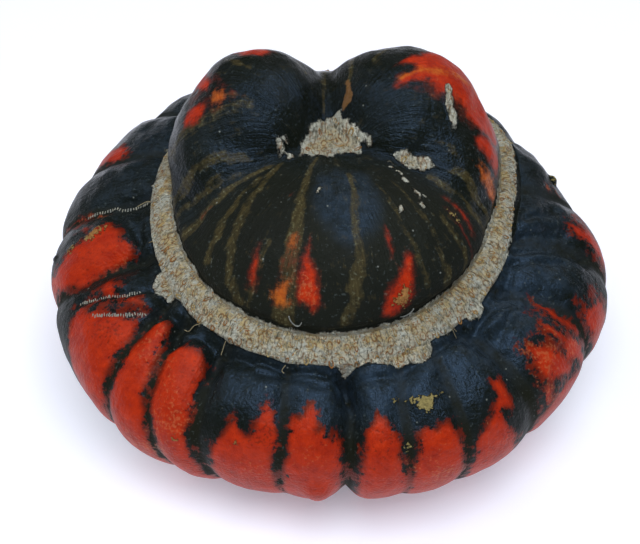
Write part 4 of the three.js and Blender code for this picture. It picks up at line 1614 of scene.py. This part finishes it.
@dataclass
class CorkPores:
    """Rusty rings of broken pores in the cork, drawn out away from the middle of the fruit."""

    finish: bpy.types.Material
    radius: float = 1.0
    wall: float = 0.3
    spacing: float = 5.6
    tones: tuple[float, float] = (0.04, 0.3)
    seed: int = 4

    def tree(self) -> bpy.types.NodeTree:
        """Builds the tree that sets the rings.

        Returns:
            The Geometry Nodes tree.
        """
        tree, given = new_growth("cork_pores", {"Radius": 0.001, "Wall": 0.001, "Spacing": 0.001, "Density": 1.0,
                                                "Seed": 1})
        rim = add_node(tree, "GeometryNodeCurveArc", {
            "Resolution": 10, "Radius": given["Radius"], "Start Angle": -0.9, "Sweep Angle": 5.0})
        wall = add_node(tree, "GeometryNodeCurvePrimitiveCircle", {"Resolution": 4, "Radius": given["Wall"]})
        ring = add_node(tree, "GeometryNodeCurveToMesh", {"Curve": rim, "Profile Curve": wall})
        raised = add_node(tree, "GeometryNodeTransform", {"Geometry": ring, "Translation": (0, 0, 0.06 * MM)})
        points = add_node(tree, "GeometryNodeDistributePointsOnFaces", {
            "Mesh": given["Geometry"], "Distance Min": given["Spacing"], "Density Max": given["Density"],
            "Seed": given["Seed"]}, distribute_method="POISSON")
        out = add_node(tree, "GeometryNodeInputPosition")
        out = add_node(tree, "ShaderNodeVectorMath", {0: out, 1: (1.0, 1.0, 0.4)}, operation="MULTIPLY")
        turn = add_node(tree, "FunctionNodeAlignRotationToVector", {
            "Rotation": points.outputs["Rotation"], "Vector": out}, axis="Y", pivot_axis="Z")
        size = add_node(tree, "FunctionNodeRandomValue", {0: (0.4, 0.8, 0.8), 1: (0.9, 1.8, 1.1), "Seed": 2},
                        data_type="FLOAT_VECTOR")
        return end_growth(tree, set_copies(tree, points, raised, turn, size, self.tones, 6), self.finish)

    def build(self, ground: bpy.types.Mesh) -> bpy.types.Object:
        """Sets the pores in the cork.

        Args:
            ground: Faces of the skin that are well inside the cork.

        Returns:
            The piece.
        """
        return grown("cork_pores", ground, self.tree(), {
            "Radius": self.radius * MM,
            "Wall": self.wall * MM,
            "Spacing": self.spacing * MM,
            "Density": 1.0 / (0.6 * self.spacing * MM) ** 2,
            "Seed": self.seed,
        })


@dataclass
class CrackLadders:
    """Healed cracks across the ribs: rows of short pale bars of cork, like the rungs of a ladder."""

    finish: bpy.types.Material
    squash: Squash
    rung: float = 2.6
    thick: float = 0.4
    spacing: float = 1.2
    line_steps: int = 24
    tones: tuple[float, float] = (0.85, 1.0)
    seed: int = 2

    def lines(self) -> bpy.types.Mesh:
        """Lays the cracks' middle lines on the skin.

        Returns:
            A mesh of edges with the skin's normal as an attribute.
        """
        points, normals, edges = [], [], []
        for crack in CRACKS:
            for share in np.linspace(0.0, 1.0, self.line_steps):
                steps = np.linspace(0.0, 1.0, len(crack))
                bearing = float(np.interp(share, steps, [step[0] for step in crack]))
                height = float(np.interp(share, steps, [step[1] for step in crack]))
                point, normal = self.squash.on_skin(Zone.FLANK, bearing, height)
                if share > 0.0:
                    edges.append((len(points) - 1, len(points)))
                points.append(tuple(point * MM))
                normals.append(normal)
        mesh = bpy.data.meshes.new("crack_lines")
        mesh.from_pydata(points, edges, [])
        mesh.attributes.new("skin_normal", "FLOAT_VECTOR", "POINT").data.foreach_set(
            "vector", np.array(normals, np.float32).ravel())
        return mesh

    def tree(self) -> bpy.types.NodeTree:
        """Builds the tree that sets a rung at each step along the cracks.

        Returns:
            The Geometry Nodes tree.
        """
        tree, given = new_growth("crack_ladders", {"Rung": 0.001, "Thick": 0.001, "Spacing": 0.001, "Seed": 1})
        line = add_node(tree, "GeometryNodeMeshToCurve", {"Mesh": given["Geometry"]})
        line = add_node(tree, "GeometryNodeResampleCurve", {"Curve": line, "Length": given["Spacing"]},
                        mode="LENGTH")
        size = add_node(tree, "ShaderNodeCombineXYZ", {"X": given["Thick"], "Y": given["Rung"], "Z": given["Thick"]})
        bar = add_node(tree, "GeometryNodeMeshCube", {"Size": size})
        up = add_node(tree, "GeometryNodeInputNamedAttribute", {"Name": "skin_normal"}, data_type="FLOAT_VECTOR")
        tangent = add_node(tree, "GeometryNodeInputTangent")
        turn = add_node(tree, "FunctionNodeAlignRotationToVector", {"Vector": up}, axis="Z")
        turn = add_node(tree, "FunctionNodeAlignRotationToVector", {"Rotation": turn, "Vector": tangent},
                        axis="X", pivot_axis="Z")
        spin = add_node(tree, "FunctionNodeRandomValue", {0: (-0.2, -0.2, -0.12), 1: (0.2, 0.2, 0.12),
                                                          "Seed": given["Seed"]}, data_type="FLOAT_VECTOR")
        spin = add_node(tree, "FunctionNodeEulerToRotation", {0: spin})
        turn = add_node(tree, "FunctionNodeRotateRotation", {0: turn, 1: spin},
                        rotation_space="LOCAL")
        scale = add_node(tree, "FunctionNodeRandomValue", {0: (0.8, 0.6, 0.6), 1: (1.3, 1.1, 1.1), "Seed": 3},
                         data_type="FLOAT_VECTOR")
        return end_growth(tree, set_copies(tree, line, bar, turn, scale, self.tones, 6), self.finish)

    def build(self) -> bpy.types.Object:
        """Sets the rungs along the cracks.

        Returns:
            The piece.
        """
        return grown("crack_ladders", self.lines(), self.tree(), {
            "Rung": self.rung * MM, "Thick": self.thick * MM, "Spacing": self.spacing * MM, "Seed": self.seed})


@dataclass
class LooseFibres:
    """Threads that have come away from the skin, drawn as thin round tubes."""

    name: str
    finish: bpy.types.Material
    squash: Squash
    paths: tuple[tuple[tuple[Zone, float, float, float], ...], ...]
    radius: float
    tone: float
    sides: int = 6
    steps: int = 14

    def lines(self) -> bpy.types.Mesh:
        """Lays the middle lines of the fibres over the skin.

        Returns:
            A mesh of edges.
        """
        points, edges = [], []
        for path in self.paths:
            for index, (zone, bearing, share, lift) in enumerate(path):
                point, normal = self.squash.on_skin(zone, bearing, share)
                if index:
                    edges.append((len(points) - 1, len(points)))
                points.append(tuple((point + lift * normal) * MM))
        mesh = bpy.data.meshes.new(self.name + "_lines")
        mesh.from_pydata(points, edges, [])
        return mesh

    def tree(self) -> bpy.types.NodeTree:
        """Builds the tree that rounds the lines and gives them their thickness.

        Returns:
            The Geometry Nodes tree.
        """
        tree, given = new_growth(self.name, {"Radius": 0.001, "Tone": 0.5, "Sides": 6, "Steps": 12})
        line = add_node(tree, "GeometryNodeMeshToCurve", {"Mesh": given["Geometry"]})
        line = add_node(tree, "GeometryNodeCurveSplineType", {"Curve": line}, spline_type="CATMULL_ROM")
        line = add_node(tree, "GeometryNodeResampleCurve", {"Curve": line, "Count": given["Steps"]},
                        mode="COUNT")
        section = add_node(tree, "GeometryNodeCurvePrimitiveCircle", {"Resolution": given["Sides"],
                                                                      "Radius": given["Radius"]})
        tube = add_node(tree, "GeometryNodeCurveToMesh", {"Curve": line, "Profile Curve": section,
                                                          "Fill Caps": True})
        toned = add_node(tree, "GeometryNodeStoreNamedAttribute", {"Geometry": tube, "Name": "tone",
                                                                   "Value": given["Tone"]})
        return end_growth(tree, toned, self.finish)

    def build(self) -> bpy.types.Object:
        """Draws the fibres.

        Returns:
            The piece.
        """
        return grown(self.name, self.lines(), self.tree(), {
            "Radius": self.radius * MM, "Tone": self.tone, "Sides": self.sides, "Steps": self.steps})


@dataclass
class StemStub:
    """The cut stem in the hollow underneath, five-ridged and flared where it joins the fruit. Sizes in mm."""

    finish: DryStem
    radius: float = 10.0
    flare: float = 13.5
    bottom: float = 4.0
    top: float = 15.7
    ridges: int = 5
    ridge_height: float = 1.1
    sides: int = 120
    rows: int = 30
    face_rows: int = 8
    face_hollow: float = 0.9
    face_share: float = 0.93
    bevel_share: float = 0.12
    flare_start: float = 0.35
    grain_height: float = 0.25

    def build(self) -> bpy.types.Object:
        """Builds the stub as one closed skin.

        Returns:
            The piece.
        """
        low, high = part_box("stem_stub")
        middle = np.array([(low[0] + high[0]) / 2, (low[1] + high[1]) / 2, 0.0]) / MM
        bearing = np.arange(self.sides) * 360.0 / self.sides
        rings = []
        for step in np.linspace(0.12, 1.0, self.face_rows, endpoint=False):
            rings.append((self.radius * self.face_share * step, self.bottom + self.face_hollow * (1 - step ** 2), step))
        for step in np.linspace(0.0, 1.0, self.rows):
            bevel = self.face_share + (1 - self.face_share) * smoothstep(0.0, self.bevel_share, step)
            radius = self.radius * bevel + (self.flare - self.radius) * smoothstep(self.flare_start, 1.0, step)
            rings.append((radius, self.bottom + (self.top - self.bottom) * step, 1.0))
        points = []
        for radius, height, ridged in rings:
            flute = 0.5 - 0.5 * np.cos(np.radians(self.ridges * bearing))
            out = radius * (1 - ridged * self.ridge_height / self.flare * flute * 1.2)
            points.append(around(bearing, out, np.full_like(bearing, height)))
        skin = np.stack(points)
        rough = self.grain_height * coherent(skin * np.array([1.0, 1.0, 0.3]), 1.8, 41)
        skin = skin + around(bearing, np.ones_like(bearing), 0.0) * rough[..., None]
        skin[-1, :, 2] = self.top
        rows, columns = skin.shape[:2]
        ends = np.array([[0.0, 0.0, self.bottom + self.face_hollow], [0.0, 0.0, self.top]])
        vertices = (np.concatenate([skin.reshape(-1, 3), ends]) + middle) * MM
        mesh = bpy.data.meshes.new("stem_stub_skin")
        mesh.from_pydata(vertices.tolist(), [], closed_faces(rows, columns))
        mesh.shade_smooth()
        return new_object("stem_stub_skin", mesh)

    def dress(self, piece: bpy.types.Object) -> None:
        """Gives the stub its finish."""
        piece.data.materials.append(self.finish.material())


@dataclass(frozen=True)
class SoftBox:
    """A square diffused light. Places and sizes in metres, power in watts."""

    name: str
    place: tuple[float, float, float]
    size: float
    power: float
    tint: str

    def build(self, aim: Vector) -> None:
        """Hangs the light and points it at the fruit.

        Args:
            aim: Place that it points at.
        """
        light = bpy.data.lights.new(self.name, "AREA")
        light.shape = "SQUARE"
        light.size = self.size
        light.energy = self.power
        light.color = linear(self.tint)[:3]
        lamp = bpy.data.objects.new(self.name, light)
        lamp.location = self.place
        lamp.rotation_euler = (aim - Vector(self.place)).to_track_quat("-Z", "Y").to_euler()
        bpy.context.scene.collection.objects.link(lamp)


@dataclass
class Studio:
    """White card floor, soft lights and the camera. Sizes in metres, angles in degrees."""

    card: MattCard
    floor_side: float = 8.0
    floor_gap: float = 0.0002
    ambient: float = 0.07
    ambient_tint: str = "#eef2ff"
    aim: tuple[float, float, float] = (-0.00002, -0.00082, 0.062)
    distance: float = 0.7
    elevation: float = 42.0
    focal_pixels: float = 1633.2
    image_width: float = 640.0
    aim_offset_pixels: tuple[float, float] = (9.0, -11.0)
    boxes: tuple[SoftBox, ...] = (
        SoftBox("front_box", (0.06, -0.45, 0.98), 0.56, 8.7, "#f4f8ff"),
        SoftBox("left_box", (-0.8, 0.0, 0.9), 0.9, 4.4, "#fffaf4"),
        SoftBox("rear_box", (0.55, 0.6, 1.0), 0.9, 4.0, "#fffaf2"),
    )

    def build(self) -> bpy.types.Object:
        """Builds floor, light and camera.

        Returns:
            The floor.
        """
        scene = bpy.context.scene
        half = self.floor_side / 2
        mesh = bpy.data.meshes.new("card_floor")
        corners = [(-half, -half), (half, -half), (half, half), (-half, half)]
        mesh.from_pydata([(x, y, -self.floor_gap) for x, y in corners], [], [(0, 1, 2, 3)])
        mesh.materials.append(self.card.material())
        floor = new_object("card_floor", mesh)
        scene.world = bpy.data.worlds.new("studio_dusk")
        scene.world.use_nodes = True
        sky = scene.world.node_tree.nodes["Background"]
        sky.inputs["Color"].default_value = linear(self.ambient_tint)
        sky.inputs["Strength"].default_value = self.ambient
        scene.view_settings.view_transform = "Standard"
        for box in self.boxes:
            box.build(Vector(self.aim))
        self.hang_camera(scene)
        return floor

    def hang_camera(self, scene: bpy.types.Scene) -> None:
        """Puts the camera at the photograph's angle.

        Args:
            scene: Scene that gets the camera.
        """
        lens = bpy.data.cameras.new("photo_camera")
        lens.sensor_width = 36.0
        lens.lens = lens.sensor_width * self.focal_pixels / self.image_width
        lens.shift_x = -self.aim_offset_pixels[0] / self.image_width
        lens.shift_y = self.aim_offset_pixels[1] / self.image_width
        camera = bpy.data.objects.new("photo_camera", lens)
        rise = math.radians(self.elevation)
        away = Vector((0.0, -math.cos(rise), math.sin(rise))) * self.distance
        camera.location = Vector(self.aim) + away
        camera.rotation_euler = (math.pi / 2 - rise, 0.0, 0.0)
        scene.collection.objects.link(camera)
        scene.camera = camera


def keep(piece: bpy.types.Object, slot: str, *nodes: str) -> None:
    """Joins a finished piece to the frame and reports it.

    Args:
        piece: The piece.
        slot: The material slot that the piece fills; not used.
        nodes: CAD nodes that it replaces.
    """
    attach(piece, "root")
    if nodes:
        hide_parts(*nodes)
    triangles = sum(len(face.vertices) - 2 for face in piece.data.polygons)
    LOG.info("%s: %d triangles", piece.name, triangles)


def main() -> None:
    """Builds the fruit piece by piece, then the studio."""
    logging.basicConfig(level=logging.INFO, format="%(name)s %(message)s")
    floor = Studio(MattCard()).build()
    squash = Squash(FruitShape(), WaxyRind())
    skin = squash.build()
    squash.dress(skin)
    keep(skin, "rind", "squash")
    cork = DryCork().material()
    keep(CorkGrain(cork).build(squash.cork_mesh(inside=0.2)), "rind")
    keep(CorkPores(cork).build(squash.cork_mesh(inside=1.2)), "rind")
    keep(CrackLadders(cork, squash).build(), "rind")
    keep(LooseFibres("loose_fibres", cork, squash, FIBRES, radius=0.17, tone=0.5).build(), "rind")
    keep(LooseFibres("skin_curls", cork, squash, CURLS, radius=0.24, tone=1.0).build(), "rind")
    stub = StemStub(DryStem())
    stem = stub.build()
    stub.dress(stem)
    keep(stem, "stem", "stem_stub")


if __name__ == "__main__":
    main()
